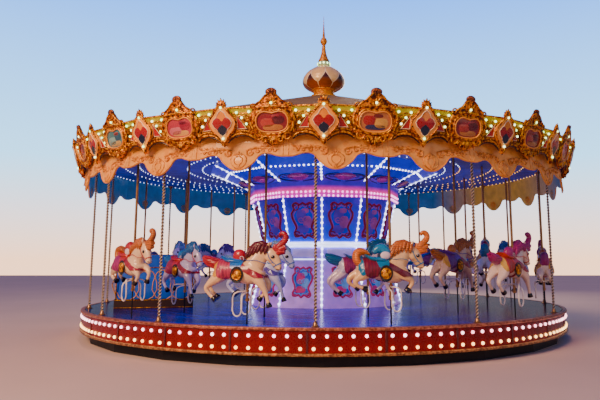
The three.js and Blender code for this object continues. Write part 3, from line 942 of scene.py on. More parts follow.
def ribs(name, foot, head):
    """A strip of lights up each corner of the drum, between two places given as (radius, z)."""
    (low_radius, low), (top_radius, top) = foot, head
    spacing = 112
    corners = [FIRST_POLE + i * BAY for i in range(BAYS)]
    tube = swept([(0, low_radius, low, 15), (0, top_radius, top, 15)], sides=4, steps=1)
    places = [Matrix.Rotation(math.radians(angle), 4, "Z") for angle in corners]
    finish(spread(coat(tube, LED), places), name, "turntable")
    count = int(math.hypot(top_radius - low_radius, top - low) / spacing)
    spots = []
    for angle in corners:
        for k in range(count):
            share = (k + 0.5) / count
            reach = low_radius + (top_radius - low_radius) * share + 9
            spots.append(ring_point(angle, reach, low + (top - low) * share))
    bulbs(name + "_bulbs", spots, 27, WHITE_LAMP)


def side_row(radius, z, count):
    """Places in a level row along each side of the drum."""
    spots = []
    side = 2 * apothem(radius) * math.tan(math.pi / BAYS)
    for place in drum_places(apothem(radius) + 8, z):
        for k in range(count):
            share = (k + 0.5) / count - 0.5
            spots.append(tuple(place @ Vector((share * side * MM, 0, 0)) / MM))
    return spots


def panel_frame(size, red, ground, heart, light):
    """A generic ornate cartouche: scalloped frame, ground, soft patches and scrolls."""
    half = [
        (0, 338), (58, 300), (130, 338), (196, 300), (172, 226), (226, 150), (214, 40), (168, -60),
        (150, -140), (196, -222), (128, -292), (56, -270), (0, -322),
    ]
    loop = [(x * size, z * size) for x, z in mirrored(half)]
    patches = [
        (-40, 90, 96, 120, heart), (70, -20, 84, 110, light),
        (-20, -150, 110, 70, heart), (40, 190, 70, 44, light),
    ]
    reds = [rim(loop, 22 * size, 8)]
    lights = [rim([(x * 0.84, z * 0.86) for x, z in loop], 8 * size, 12)]
    for way in (-1, 1):
        for up in (-1, 1):
            x, z = way * 150 * size, up * 262 * size
            reds.append(scroll(x, z, 72 * size, way * up, 14 * size, 10, 1.2, 0.5))
        lights.append(scroll(way * 46 * size, 20 * size, 62 * size, way, 9 * size, 14, 1.3, way))
    pieces = [lit(piece, red) for piece in reds] + [lit(piece, light) for piece in lights]
    pieces.append(lit(smooth(board(loop, 8, 2)), ground))
    return joined(pieces + patches_on(patches, lit, 6, size))


def drum_lines():
    """Level lines of light round the drum."""
    lines = []
    for radius, z in ((1442, 1500), (1402, 1752), (1404, 1838)):
        reach = apothem(radius) * math.tan(math.pi / BAYS)
        line = swept([(-reach, 0, 0, 14), (reach, 0, 0, 14)], sides=4, steps=1)
        lines.append(spread(coat(line, LED), drum_places(apothem(radius) + 4, z)))
    finish(joined(lines), "drum_light_lines", "turntable")


def drum_motif():
    """A heart between two scrolled stems."""
    stem = [(40, 6, 80, 10), (240, 8, 200, 16), (330, 8, 420, 20), (180, 8, 600, 14), (60, 6, 560, 8)]
    heart = mirrored([(0, 150), (130, 300), (170, 480), (0, 640)])
    pieces = [enamelled(smooth(board(heart, 12, 3)), "c81ca8")]
    for way in (-1, 1):
        pieces.append(enamelled(swept(stem, way), "1a1468"))
        pieces.append(enamelled(scroll(way * 190, 420, 110, way, 12, 6), "5a1a9a"))
    motif = joined(pieces)
    motif.data.transform(shift(0, 0, -30) @ Matrix.Diagonal((1.25, 1, 0.55, 1)))
    return motif


def drum():
    pink = belt_paint()
    refinish("drum_lower", drum_paint("drum_lilac", "b078d8", "8c84f0", 0.6, 1.7, 0.45, "c080e8"))
    refinish("drum_upper", drum_paint("drum_blue", "2450f0", "3010a0", 1.85, 2.8, 0.55, "4a1cb8"))
    refinish("drum_flare", drum_paint("drum_flare_blue", "5a0ab4", "0428d8", 3.06, 3.2, 0.42, "0830e0"))
    refinish("drum_belt", pink)
    refinish("drum_waist", plain("waist_white", "d8dcff", glow=2.4))
    band = [(1640, 2742), (1664, 2742), (1672, 2838), (1640, 2838)]
    band = lathe(band, BAYS, FIRST_POLE, closed=True)
    finish(coat(band, pink), "drum_belt_band", "turntable")

    upper = panel_frame(1.1, "7a0c34", "0c3cd8", "5a34b8", "a4489c")
    on_drum(upper, "drum_upper_frames", 1482, 2272, "drum_upper")
    lower = panel_frame(0.92, "b0285c", "1450c0", "c02878", "6a9ce0")
    on_drum(lower, "drum_lower_frames", 1569, 1040, "drum_lower")
    small = smooth(board([(-255, -85, 1), (255, -85, 1), (262, 85, 1), (-262, 85, 1)], 10, 3))
    on_drum(lit(small, "cdb0f6"), "drum_waist_panels", 1407, 1632, "drum_lower")
    drum_lines()
    on_drum(drum_motif(), "drum_flare_motifs", 1690, 3062, "drum_flare")

    ribs("drum_lower_lights", (1706, 566), (1378, 1760))
    ribs("drum_upper_lights", (1378, 1832), (1604, 2738))
    ribs("drum_flare_lights", (1700, 3070), (2580, 3442))
    belt = side_row(1666, 2764, 9) + side_row(1672, 2846, 9)
    bulbs("drum_belt_bulbs", belt, 24, lamp("lamp_rose", "ffb4f0", 3.0, "ff8ade"))
    bulbs("drum_flare_bulbs", side_row(2250, 3300, 12), 22, WHITE_LAMP)


# Ceiling, skirt, rim poles, roof and spire


def ceiling():
    refinish("ceiling", ceiling_paint())
    cold, warm = [], []
    rings = ((2720, 190), (3040, 190), (3720, 190), (4040, 200), (4360, 200), (4920, 150))
    for radius, spacing in rings:
        count = round(2 * math.pi * radius / spacing)
        for k in range(count):
            spot = ring_point(360 * k / count, radius, CEILING - 6)
            in_amber = spot[0] > 2900 and spot[1] > -1200
            (warm if in_amber else cold).append(spot)
    bulbs("ceiling_bulbs", cold, 13, CEILING_LAMP)
    bulbs("ceiling_warm_bulbs", warm, 13, YELLOW_LAMP)


def turned(name, node, material, rows, sides, degrees=35, closed=False):
    """A turned piece that stands for a CAD node."""
    piece = smooth(coat(lathe(rows, sides, closed=closed), material), degrees)
    finish(piece, name, "turntable", [node])


def skirt():
    panels = [(4921, 206), (4965, 206), (4965, 509), (4921, 509)]
    turned("skirt_panels", "skirt", skirt_paint(), panels, 120, closed=True)
    top = [(4921, 510), (4978, 510), (4996, 520), (5000, 535), (4994, 550), (4970, 555), (4921, 555)]
    gold = carved("trim_gold", "cf7f5a", "8c3f26", 0.3)
    turned("skirt_top_rail", "skirt_top_trim", gold, top, 120, 50, closed=True)
    low = [(4921, 165), (4990, 165), (5000, 180), (4996, 195), (4978, 205), (4921, 205)]
    warm = carved("trim_warm_gold", "c98a4a", "7a4420", 0.3)
    turned("skirt_low_rail", "skirt_bottom_trim", warm, low, 120, 50, closed=True)


def skirt_lights():
    """Two rows of bulbs, six to a panel, and a strip over each joint."""
    step, each = 360 / SKIRT_PANELS, 6
    angles = [SKIRT_START + step * (k + 0.5) / each for k in range(SKIRT_PANELS * each)]
    bulbs("skirt_upper_bulbs", [ring_point(angle, 4972, 437) for angle in angles], 26, PINK_LAMP)
    bulbs("skirt_lower_bulbs", [ring_point(angle, 4972, 268) for angle in angles], 26, WARM_LAMP)
    seams = [facing(SKIRT_START + i * step, 4966, 357) for i in range(SKIRT_PANELS)]
    strip = board([(-14, -148, 1), (14, -148, 1), (14, 148, 1), (-14, 148, 1)], 10, 2)
    finish(spread(enamelled(strip, "5a0408"), seams), "skirt_seams", "turntable")


def groove_shade_ridge_highlight(piece, light, dark, near, far):
    """Paints a piece by its distance from the Z axis, dark up to one radius and light from another,
    as painted shade in its grooves and a painted highlight on its ridges.
    """
    layer = piece.data.color_attributes.new("paint", "FLOAT_COLOR", "POINT")
    low, high = Vector(rgb(dark)), Vector(rgb(light))
    for vertex, spot in zip(piece.data.vertices, layer.data):
        share = (math.hypot(vertex.co.x, vertex.co.y) / MM - near) / (far - near)
        spot.color = low.lerp(high, min(max(share, 0), 1))


def twisted_pole():
    """A flat oval wound up the pole, pale on its ridges as a painted highlight and dark in its grooves as
    painted shade.
    """
    bpy.ops.mesh.primitive_circle_add(vertices=8, radius=0.027)
    pole = bpy.context.object
    pole.scale = (1, 0.5, 1)
    settle(pole)
    turns, length = 28, 2880
    applied(
        pole, "SCREW", angle=turns * 2 * math.pi, screw_offset=length * MM,
        steps=turns * 8, render_steps=turns * 8, use_merge_vertices=True, merge_threshold=0.00001,
    )
    with editing(moved(pole, 0, 0, DECK + 10)):
        bpy.ops.mesh.fill_holes(sides=8)
        bpy.ops.mesh.normals_make_consistent(inside=False)
    # Painted highlight on the ridges and painted shade in the grooves of the twist.
    groove_shade_ridge_highlight(pole, "f4dcac", "2c1408", 14, 25)
    return coat(smooth(pole, 50), TWIST)


def rim_poles():
    foot = lathe([(0, 551), (62, 551), (62, 562), (40, 570), (32, 610), (26, 618), (0, 618)], 12)
    cap = lathe([(0, 3370), (28, 3370), (34, 3400), (60, 3430), (64, 3448), (0, 3448)], 12)
    pattern = joined([twisted_pole()] + coated([smooth(piece, 50) for piece in (foot, cap)], BRASS))
    angles = [FIRST_POLE + BAY * i for i in range(10)] + [289.1, 308.1, 328.6]
    for count, angle in enumerate(angles):
        node = f"rim_pole_{count + 1:02d}"
        copy = twin(pattern, facing(angle, RIM_CIRCLE, 0))
        finish(copy, node + "_twist", "turntable", [node])
    drop(pattern)


def roof_and_spire():
    refinish("roof", roof_paint())
    dome = [
        (0, 5402), (322, 5402), (400, 5440), (462, 5495), (492, 5560), (494, 5630), (470, 5710),
        (425, 5780), (355, 5850), (270, 5908), (190, 5955), (140, 5988), (0, 5988),
    ]
    turned("dome_onion", "dome", dome_paint(), dome, 40)
    neck = [
        (0, 5216), (328, 5216), (328, 5232), (300, 5262), (250, 5290), (236, 5330), (252, 5366),
        (298, 5384), (300, 5400), (0, 5400),
    ]
    bright = carved("neck_gold", "ffb414", "d07804", 0.3)
    turned("dome_neck_turned", "dome_neck", bright, neck, 32)
    ring = [(0, 5990), (118, 5990), (142, 6010), (150, 6040), (142, 6070), (118, 6089), (0, 6089)]
    # The ring's glow is painted light, as from the bulbs set round it.
    pale = plain("lamp_ring", "9ab88a", glow=0.4)
    turned("lamp_ring", "spire_lamp_ring", pale, ring, 24)
    bulbs("spire_bulbs", [ring_point(36 * k, 138, 6040) for k in range(10)], 26, LIME_LAMP)
    spire = [
        (0, 6091), (128, 6091), (130, 6120), (104, 6170), (76, 6240), (56, 6320), (44, 6430), (36, 6515),
        (60, 6532), (60, 6548), (80, 6572), (84, 6600), (80, 6628), (60, 6652), (60, 6668), (34, 6690),
        (26, 6780), (12, 7000), (4, 7224), (0, 7225),
    ]
    gold = carved("spire_gold", "ffa62c", "b0640c", 0.3)
    turned("spire_turned", "spire", gold, spire, 24, 40)


# Horses


BODY_TRIANGLES = 5600
# Rows of a body as (x, z, slope, half width, half height), from its rear end to its front
TRUNK = [
    (-520, 806, 0, 30, 36), (-498, 806, 0, 90, 92), (-446, 802, 0, 132, 128), (-370, 792, 0, 148, 142),
    (-260, 780, 0, 144, 140), (-150, 766, 0, 142, 150), (-40, 750, 0, 146, 170), (60, 752, 10, 144, 182),
    (140, 780, 28, 126, 174), (190, 832, 45, 94, 138),
]
NECK = [
    (50, 820, 30, 104, 150), (125, 900, 46, 98, 156), (180, 985, 52, 82, 138),
    (228, 1052, 40, 70, 116), (280, 1090, 15, 62, 92), (330, 1090, -15, 52, 72),
]
HEAD = [
    (300, 1085, -40, 42, 55), (345, 1045, -46, 66, 88), (380, 1000, -52, 72, 98), (420, 940, -58, 62, 90),
    (450, 885, -64, 53, 76), (472, 840, -68, 49, 60), (488, 805, -72, 43, 45), (496, 786, -76, 22, 24),
]
# Legs as (x, z, radius) from the body to the fetlock: two fore, two hind, near side first
LEAPING = [
    [(130, 720, 108), (220, 625, 78), (288, 520, 47), (328, 425, 31), (350, 350, 28), (360, 318, 33)],
    [(130, 730, 105), (240, 640, 74), (300, 560, 46), (268, 478, 31), (212, 420, 27), (190, 396, 32)],
    [
        (-380, 760, 124), (-480, 655, 84), (-590, 572, 50), (-628, 515, 37),
        (-586, 450, 28), (-545, 408, 28), (-520, 388, 33),
    ],
    [
        (-380, 770, 124), (-490, 672, 84), (-606, 598, 50), (-648, 545, 37),
        (-612, 478, 28), (-572, 432, 28), (-548, 412, 33),
    ],
]
TUCKED = [
    [(130, 730, 106), (225, 672, 74), (290, 622, 47), (304, 572, 33), (272, 524, 28), (254, 504, 33)],
    [(130, 745, 103), (250, 708, 72), (335, 668, 46), (358, 616, 33), (336, 560, 28), (324, 534, 33)],
    [
        (-380, 760, 122), (-470, 688, 82), (-548, 636, 50), (-566, 592, 37),
        (-520, 542, 28), (-478, 522, 28), (-456, 514, 33),
    ],
    [
        (-380, 770, 122), (-490, 706, 82), (-592, 664, 50), (-618, 618, 37),
        (-584, 562, 28), (-542, 536, 28), (-520, 526, 33),
    ],
]
LEG_SIDE = 86


def horse_body(legs):
    """Trunk, neck, head and legs, run together and smoothed."""
    pieces = [loft(TRUNK, 20), loft(NECK, 16), loft(HEAD, 16)]
    for count, leg in enumerate(legs):
        y = LEG_SIDE if count % 2 else -LEG_SIDE
        inward = 0.55
        points = [(x, y * (inward if k == 0 else 1), z, radius) for k, (x, z, radius) in enumerate(leg)]
        pieces.append(strand(points, 8, 4))
    for way in (-1, 1):
        ear = [(322, way * 34, 1110, 24), (336, way * 44, 1165, 23), (356, way * 50, 1212, 5)]
        pieces.append(strand(ear))
        pieces.append(moved(ball(34, 12, 8, (1.3, 0.7, 0.9)), 408, way * 46, 985))
        pieces.append(moved(ball(26, 12, 8), 498, way * 24, 818))
        pieces.append(moved(ball(72, 12, 8, (1, 0.5, 1.1)), 352, way * 40, 990))
    body = joined(pieces)
    body.data.remesh_voxel_size = 0.011
    take(body)
    bpy.ops.object.voxel_remesh()
    applied(body, "SMOOTH", factor=0.5, iterations=7)
    applied(body, "DECIMATE", ratio=BODY_TRIANGLES / (2 * len(body.data.polygons)))
    return coat(smooth(tidy_normals(body), 75), BODY)


def hooves(legs):
    pieces = []
    for count, leg in enumerate(legs):
        (x0, z0, _), (x1, z1, _) = leg[-2:]
        way = Vector((x1 - x0, 0, z1 - z0)).normalized()
        hoof = smooth(lathe([(0, 0), (31, 0), (37, 12), (48, 62), (44, 68), (0, 68)], 10), 50)
        hoof.data.transform(way.to_track_quat("Z", "Y").to_matrix().to_4x4())
        y = LEG_SIDE if count % 2 else -LEG_SIDE
        pieces.append(moved(hoof, x1 - way.x * 2, y, z1 - way.z * 2))
    return coat(joined(pieces), ENAMEL)


def skin(body, cuts, thick):
    """A cloth or strap cut from the body's surface. A cut is a place and the way to the kept side."""
    piece = twin(body, Matrix.Identity(4))
    with editing(piece):
        for (x, z), (along, up) in cuts:
            bpy.ops.mesh.select_all(action="SELECT")
            bpy.ops.mesh.bisect(plane_co=(x * MM, 0, z * MM), plane_no=(along, 0, up), clear_inner=True)
    applied(piece, "SOLIDIFY", thickness=thick * MM, offset=1.0)
    return smooth(piece, 50)


def draped(body, start, end, low, corner, thick):
    """A cloth over the back from one x to another, down to a height, with rounded lower corners."""
    cuts = [((start, 0), (1, 0)), ((end, 0), (-1, 0)), ((0, low), (0, 1))]
    for x, way in ((start, 1), (end, -1)):
        cuts += [((x, low + corner), (way, 1)), ((x, low + corner * 1.9), (way, 0.4))]
        cuts.append(((x + way * corner * 1.9, low), (way * 0.4, 1)))
    return skin(body, cuts, thick)


def strap(body, x, z, slope, width, thick, start=-900, low=0):
    """A strap across a spine of that slope, no further back than the start and no lower than low."""
    along, up = math.cos(math.radians(slope)), math.sin(math.radians(slope))
    half = width / 2
    cuts = [((x - w * half * along, z - w * half * up), (w * along, w * up)) for w in (1, -1)]
    return skin(body, cuts + [((start, 0), (1, 0)), ((0, low), (0, 1))], thick)


def mane(crested):
    """Swept mane; a crested head has it run on over the forehead."""
    rows = [
        (-22, 920, 80, 24, 28), (6, 985, 72, 46, 62), (58, 1062, 55, 58, 84), (140, 1128, 32, 60, 92),
        (230, 1148, 5, 58, 82), (304, 1126, -20, 50, 64), (352, 1096, -45, 30, 38),
    ]
    pieces = [smooth(loft(rows, 12), 60)]
    for way in (-1, 1):
        for k in range(6):
            x, z = 60 + 52 * k, 1075 + 22 * min(k, 3) - 12 * max(k - 3, 0)
            back, down = 70 - 8 * k, 118 - 6 * k
            pieces.append(strand([
                (x, way * 42, z + 30, 30),
                (x - back * 0.45, way * 66, z - down * 0.25, 33),
                (x - back * 0.95, way * 72, z - down * 0.7, 24),
                (x - back * 1.15, way * 74, z - down * 1.15, 5),
            ]))
    if crested:
        lock = [(290, 0, 1160, 40), (370, 0, 1135, 44), (430, 0, 1080, 34), (452, 0, 1020, 8)]
        pieces.append(strand(lock, 8))
        for k in range(4):
            x, z = 40 + 78 * k, 1120 + 30 * min(k, 2)
            pieces.append(strand([(x + 40, 0, z, 44), (x - 10, 0, z + 52, 32), (x - 70, 0, z + 50, 7)]))
    return coat(joined(pieces), HAIR)


def plume():
    """Curls on the forehead, and one that stands up and hooks over."""
    curls = ((440, 1168, 34), (525, 1182, 44), (592, 1128, 42), (578, 1060, 38), (505, 1030, 34))
    pieces = []
    for x, z, radius in curls:
        middle = ((400 + x) / 2 + 8, 0, (1045 + z) / 2 + 6, radius + 14)
        pieces.append(strand([(390, 0, 1040, 22), middle, (x, 0, z, radius)], 8))
    hook = [
        (470, 1120, 40), (545, 1190, 50), (592, 1258, 48), (562, 1322, 42), (508, 1318, 32), (496, 1284, 12),
    ]
    pieces.append(strand([(x, 0, z, radius) for x, z, radius in hook], 8, 4))
    return coat(joined(pieces), HAIR)


def tail(tucked):
    """It streams out behind a leaping horse and curls over the rump of a tucked one."""
    curled = [
        (-395, 800, 46), (-480, 862, 52), (-528, 950, 48),
        (-500, 1030, 44), (-410, 1040, 36), (-330, 1000, 12),
    ]
    streaming = [(-430, 872, 44), (-530, 892, 56), (-630, 924, 52), (-722, 968, 16)]
    pieces = []
    for y, rise in ((0, 30), (-34, 4), (34, 4), (-16, -34), (16, -34)):
        if tucked:
            points = [(x - rise * 0.4, y, z + rise * 0.5, radius) for x, z, radius in curled]
        else:
            points = [(x, y * 1.1, z + rise, radius) for x, z, radius in streaming]
        pieces.append(strand(points, 8))
    return coat(joined(pieces), HAIR)


def saddle():
    rows = [
        (-60, 905, -5, 66, 30), (-110, 915, 0, 112, 42), (-200, 925, 0, 128, 42), (-290, 930, 4, 126, 40),
        (-350, 950, 14, 116, 44), (-390, 978, 30, 92, 32), (-405, 990, 40, 56, 16),
    ]
    return coat(smooth(loft(rows, 16), 60), ENAMEL)


def pommel(tucked):
    """The carved front of the saddle: a round boss, or a higher hooded one."""
    hood = [(-40, 925, 66), (-62, 1010, 84), (-120, 1078, 82), (-200, 1074, 62), (-262, 1020, 34)]
    if tucked:
        boss = strand([(x, 0, z, radius) for x, z, radius in hood], 12, 4)
    else:
        boss = moved(ball(104, 20, 12, (1, 0.72, 1.06)), -138, 0, 990)
    return coat(smooth(boss, 70), ENAMEL)


def curl(tucked):
    """A flat oval or a small spiral on each side of the boss."""
    pieces = []
    for way in (-1, 1):
        if tucked:
            pieces.append(moved(ball(60, 16, 8, (1.35, 0.35, 0.95)), -98, way * 78, 985))
            continue
        points = []
        for k in range(8):
            angle, reach = -0.6 + k * 0.75, 42 - 4.5 * k
            points.append((-82 + reach * math.cos(angle), way * 66, 962 + reach * math.sin(angle), 8))
        pieces.append(strand(points, 6, 2))
    return coat(joined(pieces), ENAMEL)


def medallion():
    """A gilt disc on a dark backing, on each side of the girth."""
    disc = smooth(lathe([(0, 0), (88, 0), (94, 8), (84, 18), (70, 14), (60, 22), (24, 28), (0, 31)], 20), 40)
    back = lathe([(0, 0), (118, 0), (124, 8), (116, 16), (96, 12), (0, 12)], 20)
    back.data.transform(Matrix.Diagonal((1, 1.12, 1, 1)))
    for piece in (disc, back):
        piece.data.transform(Matrix.Diagonal((0.84, 1, 0.88, 1)) @ Matrix.Rotation(math.pi / 2, 4, "X"))
    near = joined([
        coat(moved(disc, -116, -156, 722), LEAF),
        enamelled(moved(smooth(back, 40), -116, -147, 722), "1a100c"),
    ])
    return joined([near, twin(near, Matrix.Diagonal((1, -1, 1, 1)))])


def face():
    """Painted highlights on the eyes, pale lines over them, and dark parts of the eyes, nostrils and mouth.
    """
    lights, darks = [], []
    for way in (-1, 1):
        darks.append(moved(ball(27, 14, 8, (1.15, 0.6, 0.9)), 412, way * 66, 982))
        darks.append(moved(ball(9, 8, 6), 516, way * 34, 822))
        mouth = [(452, way * 46, 806, 4), (478, way * 44, 800, 5), (503, way * 26, 790, 4)]
        lid = [(384, way * 60, 1000, 4), (400, way * 68, 1012, 6), (428, way * 66, 1008, 4)]
        darks.append(strand(mouth, 4))
        # The small white balls on the eyes are painted highlights.
        lights += [moved(ball(8, 8, 6), 404, way * 80, 992), strand(lid, 4)]
    return coat(joined(lights), ENAMEL), coat(joined(darks), ENAMEL)


def harness(body):
    straps = [strap(body, 38, 786, 62, 84, 12, -160, 676), strap(body, -116, 762, 0, 46, 8)]
    return coat(joined(straps), ENAMEL)


def bridle(body):
    """Two thin straps and the reins."""
    cheek = [(330, 74, 1052, 6), (352, 80, 985, 7), (400, 74, 918, 7), (458, 60, 868, 6)]
    rein = [(420, 70, 900, 5), (330, 98, 885, 5), (160, 118, 935, 5), (20, 84, 930, 5), (-60, 60, 960, 5)]
    straps = [strap(body, 462, 862, -64, 15, 6, 380)]
    for way in (-1, 1):
        for line in (cheek, rein):
            straps.append(strand([(x, way * y, z, radius) for x, y, z, radius in line], 4))
    return coat(joined(straps), ENAMEL)


def footrest(tucked):
    """A hanging loop on each side, behind the pole or just ahead of it."""
    half = [
        (-6, 0, 474), (-50, 60, 476), (-110, 150, 468), (-150, 168, 430), (-162, 168, 300), (-150, 168, 170),
        (-92, 168, 128), (-34, 168, 170), (-22, 168, 300), (-24, 150, 410), (-16, 70, 446),
    ]
    pieces = []
    for way in (-1, 1):
        points = [((-60 - x if tucked and x < -10 else x), way * y, z + 50 * tucked, 12) for x, y, z in half]
        pieces.append(strand(points, closed=True))
    return coat(joined(pieces), FOOTREST)


def horse_pole():
    pole = lathe([(0, 331), (21, 331), (21, 2994), (0, 2994)], 16)
    ring = lathe([(22, 955), (38, 955), (40, 975), (30, 995), (22, 995)], 16, closed=True)
    foot = lathe([(22, 340), (30, 340), (30, 372), (22, 378)], 16, closed=True)
    return coat(joined([smooth(piece, 40) for piece in (pole, ring, foot)]), BRASS)


def horse_parts(tucked, crested):
    legs = TUCKED if tucked else LEAPING
    body = horse_body(legs)
    eye_highlights_and_lids, darks = face()
    parts = {
        "blanket": coat(draped(body, -440, -205, 668, 40, 15), CLOTH),
        "border": coat(draped(body, -505, -425, 690, 22, 10), ENAMEL),
        "flap": coat(draped(body, -245, -50, 790, 44, 20), ENAMEL),
        "harness": harness(body),
        "bridle": bridle(body),
        "body": body,
        "hooves": hooves(legs),
        "mane": mane(crested),
        "tail": tail(tucked),
        "saddle": saddle(),
        "pommel": pommel(tucked),
        "curl": curl(tucked),
        "medallion": medallion(),
        "eye_highlights_and_lids": eye_highlights_and_lids,
        "darks": darks,
        "footrest": footrest(tucked),
        "pole": horse_pole(),
    }
    if not crested:
        parts["plume"] = plume()
    return parts


# Radius of the rows of horses
OUTER = 4620
INNER = 3500
# Bay, row radius, degrees ahead of the middle of the bay, lift, and looks:
# legs, crested, body, mane, plume and tail, saddle, blanket, harness, border
HORSES = [
    (-1, OUTER, 2.2, 0, 0, 0, "ffcf92", "6c0614", "c20a1c", "1f6fc0", "c2335a", "a3172a", "e0a028"),
    (0, OUTER, -1.2, 20, 1, 0, "ffcc88", "d4700c", "f08008", "1c86b4", "8c1230", "6a1020", "1a7fa8"),
    (1, OUTER, 0, 60, 0, 0, "fbdcc0", "c01c78", "c01c78", "d0401c", "c83a20", "b02030", "e0b040"),
    (2, OUTER, 0, 0, 1, 0, "f8dcc4", "c02a84", "c02a84", "d0601c", "b8321c", "a02050", "e0a028"),
    (3, OUTER, 0, 160, 0, 1, "f0e8ee", "3a8fc8", "3a8fc8", "a02a6a", "3a5fc0", "8a1a3a", "e0b040"),
    (4, OUTER, 0, 40, 1, 0, "fad6a8", "c8541c", "c8541c", "2a6fc0", "9a1c50", "a02028", "d8a030"),
    (5, OUTER, 0, 180, 0, 1, "ece6f2", "7a4ab8", "7a4ab8", "c02a3a", "2a80b0", "702060", "e0b040"),
    (6, OUTER, 0, 30, 1, 1, "f0e6dc", "2a78c0", "2a78c0", "c8321c", "a02a6a", "204a90", "e0a028"),
    (7, OUTER, 0, 140, 0, 1, "e6e6f4", "2a7ac4", "2a7ac4", "9a2a90", "c03050", "3a3a9a", "d8a030"),
    (8, OUTER, 0, 60, 1, 1, "e8e2f2", "5a4ab0", "5a4ab0", "b82a3a", "3a6ac0", "6a2a70", "e0b040"),
    (10, OUTER, 2.5, 90, 1, 0, "fbd4a4", "d8761c", "d8761c", "b82a20", "b02a78", "a8202c", "2c7a4a"),
    (-1, INNER, 0, 10, 0, 1, "c9cdf0", "7fa8e0", "7fa8e0", "3a6ac8", "a85ab0", "5a4ab0", "c8a050"),
    (0, INNER, -1.5, 40, 0, 1, "ecd0d8", "0c78b0", "0c78b0", "2a6aa8", "a8286a", "6a2a6a", "d0c8e0"),
    (1, INNER, 0, 120, 0, 0, "f2c8a4", "d87a20", "d87a20", "7a3ab0", "7a2a90", "b02a3a", "d8a030"),
    (2, INNER, 0, 170, 1, 1, "e8e2f0", "3a8ac0", "3a8ac0", "b02a50", "2a60b0", "8a2050", "e0b040"),
    (3, INNER, 0, 20, 0, 0, "f6d8b8", "c0283a", "c0283a", "2a70b8", "b04a1c", "9a1c30", "e0a028"),
    (4, INNER, 0, 150, 1, 1, "dfe6f2", "2a94a4", "2a94a4", "2a5ac0", "a02a6a", "2a5a9a", "c8a050"),
    (5, INNER, 0, 30, 0, 0, "fbd4a4", "d0601c", "d0601c", "2a80b0", "8a1a40", "8a2020", "d8a030"),
    (6, INNER, 0, 160, 1, 1, "e8dcea", "8a3ab0", "8a3ab0", "c02a4a", "3a4ab8", "5a2a7a", "e0b040"),
    (7, INNER, 0, 110, 0, 1, "e2daf0", "7a3aa8", "7a3aa8", "b82a4a", "4a4ab8", "7a2a6a", "d8a030"),
    (8, INNER, 0, 130, 1, 1, "d4c8ee", "7ab8e0", "7ab8e0", "8a3a9a", "3a6ab8", "5a3a90", "c8a050"),
    (10, INNER, 0, 20, 0, 1, "cfc2ea", "2a78c8", "2a78c8", "c0282a", "a82a5a", "a02030", "e0a028"),
]


def horses():
    patterns = {}
    for number, row in enumerate(HORSES):
        bay, radius, lead, lift, tucked, crested, body, hairs, crest, seat, blanket, strap_code, border = row
        key = (tucked, crested)
        if key not in patterns:
            patterns[key] = horse_parts(tucked, crested)
        codes = {
            "body": body, "hooves": "140c0c", "mane": hairs, "tail": crest, "plume": crest,
            "saddle": seat, "flap": seat, "pommel": seat if tucked else crest, "curl": "f0d8dc",
            "blanket": blanket, "border": border, "harness": strap_code, "bridle": seat,
            # The white on the eyes is a painted highlight.
            "eye_highlights_and_lids": "f4f0ea", "darks": "0c0608",
        }
        place = facing(FIRST_POLE + (bay + 0.5) * BAY + lead, radius, DECK + lift)
        copies = []
        for part, pattern in patterns[key].items():
            copy = twin(pattern, place)
            copies.append(paint(copy, codes[part]) if part in codes else copy)
        name = f"horse_{number + 1:02d}"
        finish(joined(copies), name + "_carved", name, [name])
    for parts in patterns.values():
        drop(*parts.values())


# Carriage

CARRIAGE_FLOOR = 181  # height over the deck
WALL = 40


def panelled(outline, panels):
    """A wall of the carriage with a gilt edge and cream panel lines, facing -Y. A panel is its
    middle, half its width, and its lower and upper edges."""
    out = WALL + 2
    pieces = [
        coat(smooth(board(outline, WALL, 8)), CARRIAGE_BLUE),
        coat(rim([spot[:2] for spot in outline], 11, out), LEAF),
    ]
    for x, wide, low, high in panels:
        corners = [(-wide, low), (wide, low), (wide, high - 60)]
        corners += [(wide * 0.5, high), (-wide * 0.5, high), (-wide, high - 60)]
        line = rim([(x + across, z) for across, z in corners], 9, out, steps=3)
        pieces.append(coat(line, CREAM))
    return joined(pieces)


def cushion(length, width, thick, seams):
    """A crowned pad on its flat underside, its sides pulled in between the corners and at the seams."""
    bpy.ops.mesh.primitive_grid_add(x_subdivisions=24, y_subdivisions=48, size=2)
    pad = applied(bpy.context.object, "SOLIDIFY", thickness=0.02, offset=1.0)
    for vertex in pad.data.vertices:
        x, y, z = vertex.co
        across, along = 1 - x * x, 1 - y * y
        crown = (max(across, 0) ** 0.35) * (max(along, 0) ** 0.35)
        dip = max(math.exp(-(((y - seam) / 0.035) ** 2)) for seam in seams)
        on_top = z > 0.01
        rise = (0.35 + 0.65 * crown * (1 - 0.45 * dip)) * thick if on_top else 0.0
        pull = 1 - 0.035 * along * abs(x) - 0.02 * dip * abs(x)
        pull_y = 1 - 0.02 * across * abs(y)
        vertex.co = (x * pull * length / 2 * MM, y * pull_y * width / 2 * MM, rise * MM)
    return smooth(tidy_normals(pad), 60)


def carriage_sides():
    """The two long walls, with a scroll at each end."""
    outline = [
        (-720, 0, 1), (700, 0, 1), (748, 300), (742, 560), (660, 615), (560, 590), (470, 500),
        (380, 410), (100, 396), (-150, 402), (-300, 470), (-420, 620), (-520, 790), (-640, 895),
        (-750, 880), (-768, 780), (-740, 500),
    ]
    pieces = []
    for way in (-1, 1):
        loop = [(way * x, z, *rest) for x, z, *rest in outline]
        panels = [(way * 450, 170, 40, 340), (way * 40, 190, 40, 340), (way * -430, 170, 40, 380)]
        wall = panelled(loop, panels)
        wall.data.transform(facing(0 if way > 0 else 180, 680, CARRIAGE_FLOOR))
        pieces.append(wall)
        for x, z, size in ((-600, 820, 110), (640, 560, 84)):
            height = z + CARRIAGE_FLOOR - 60
            pieces.append(coat(scroll(x, height, size, -way, 20, way * 726, 1.5), LEAF))
    return pieces


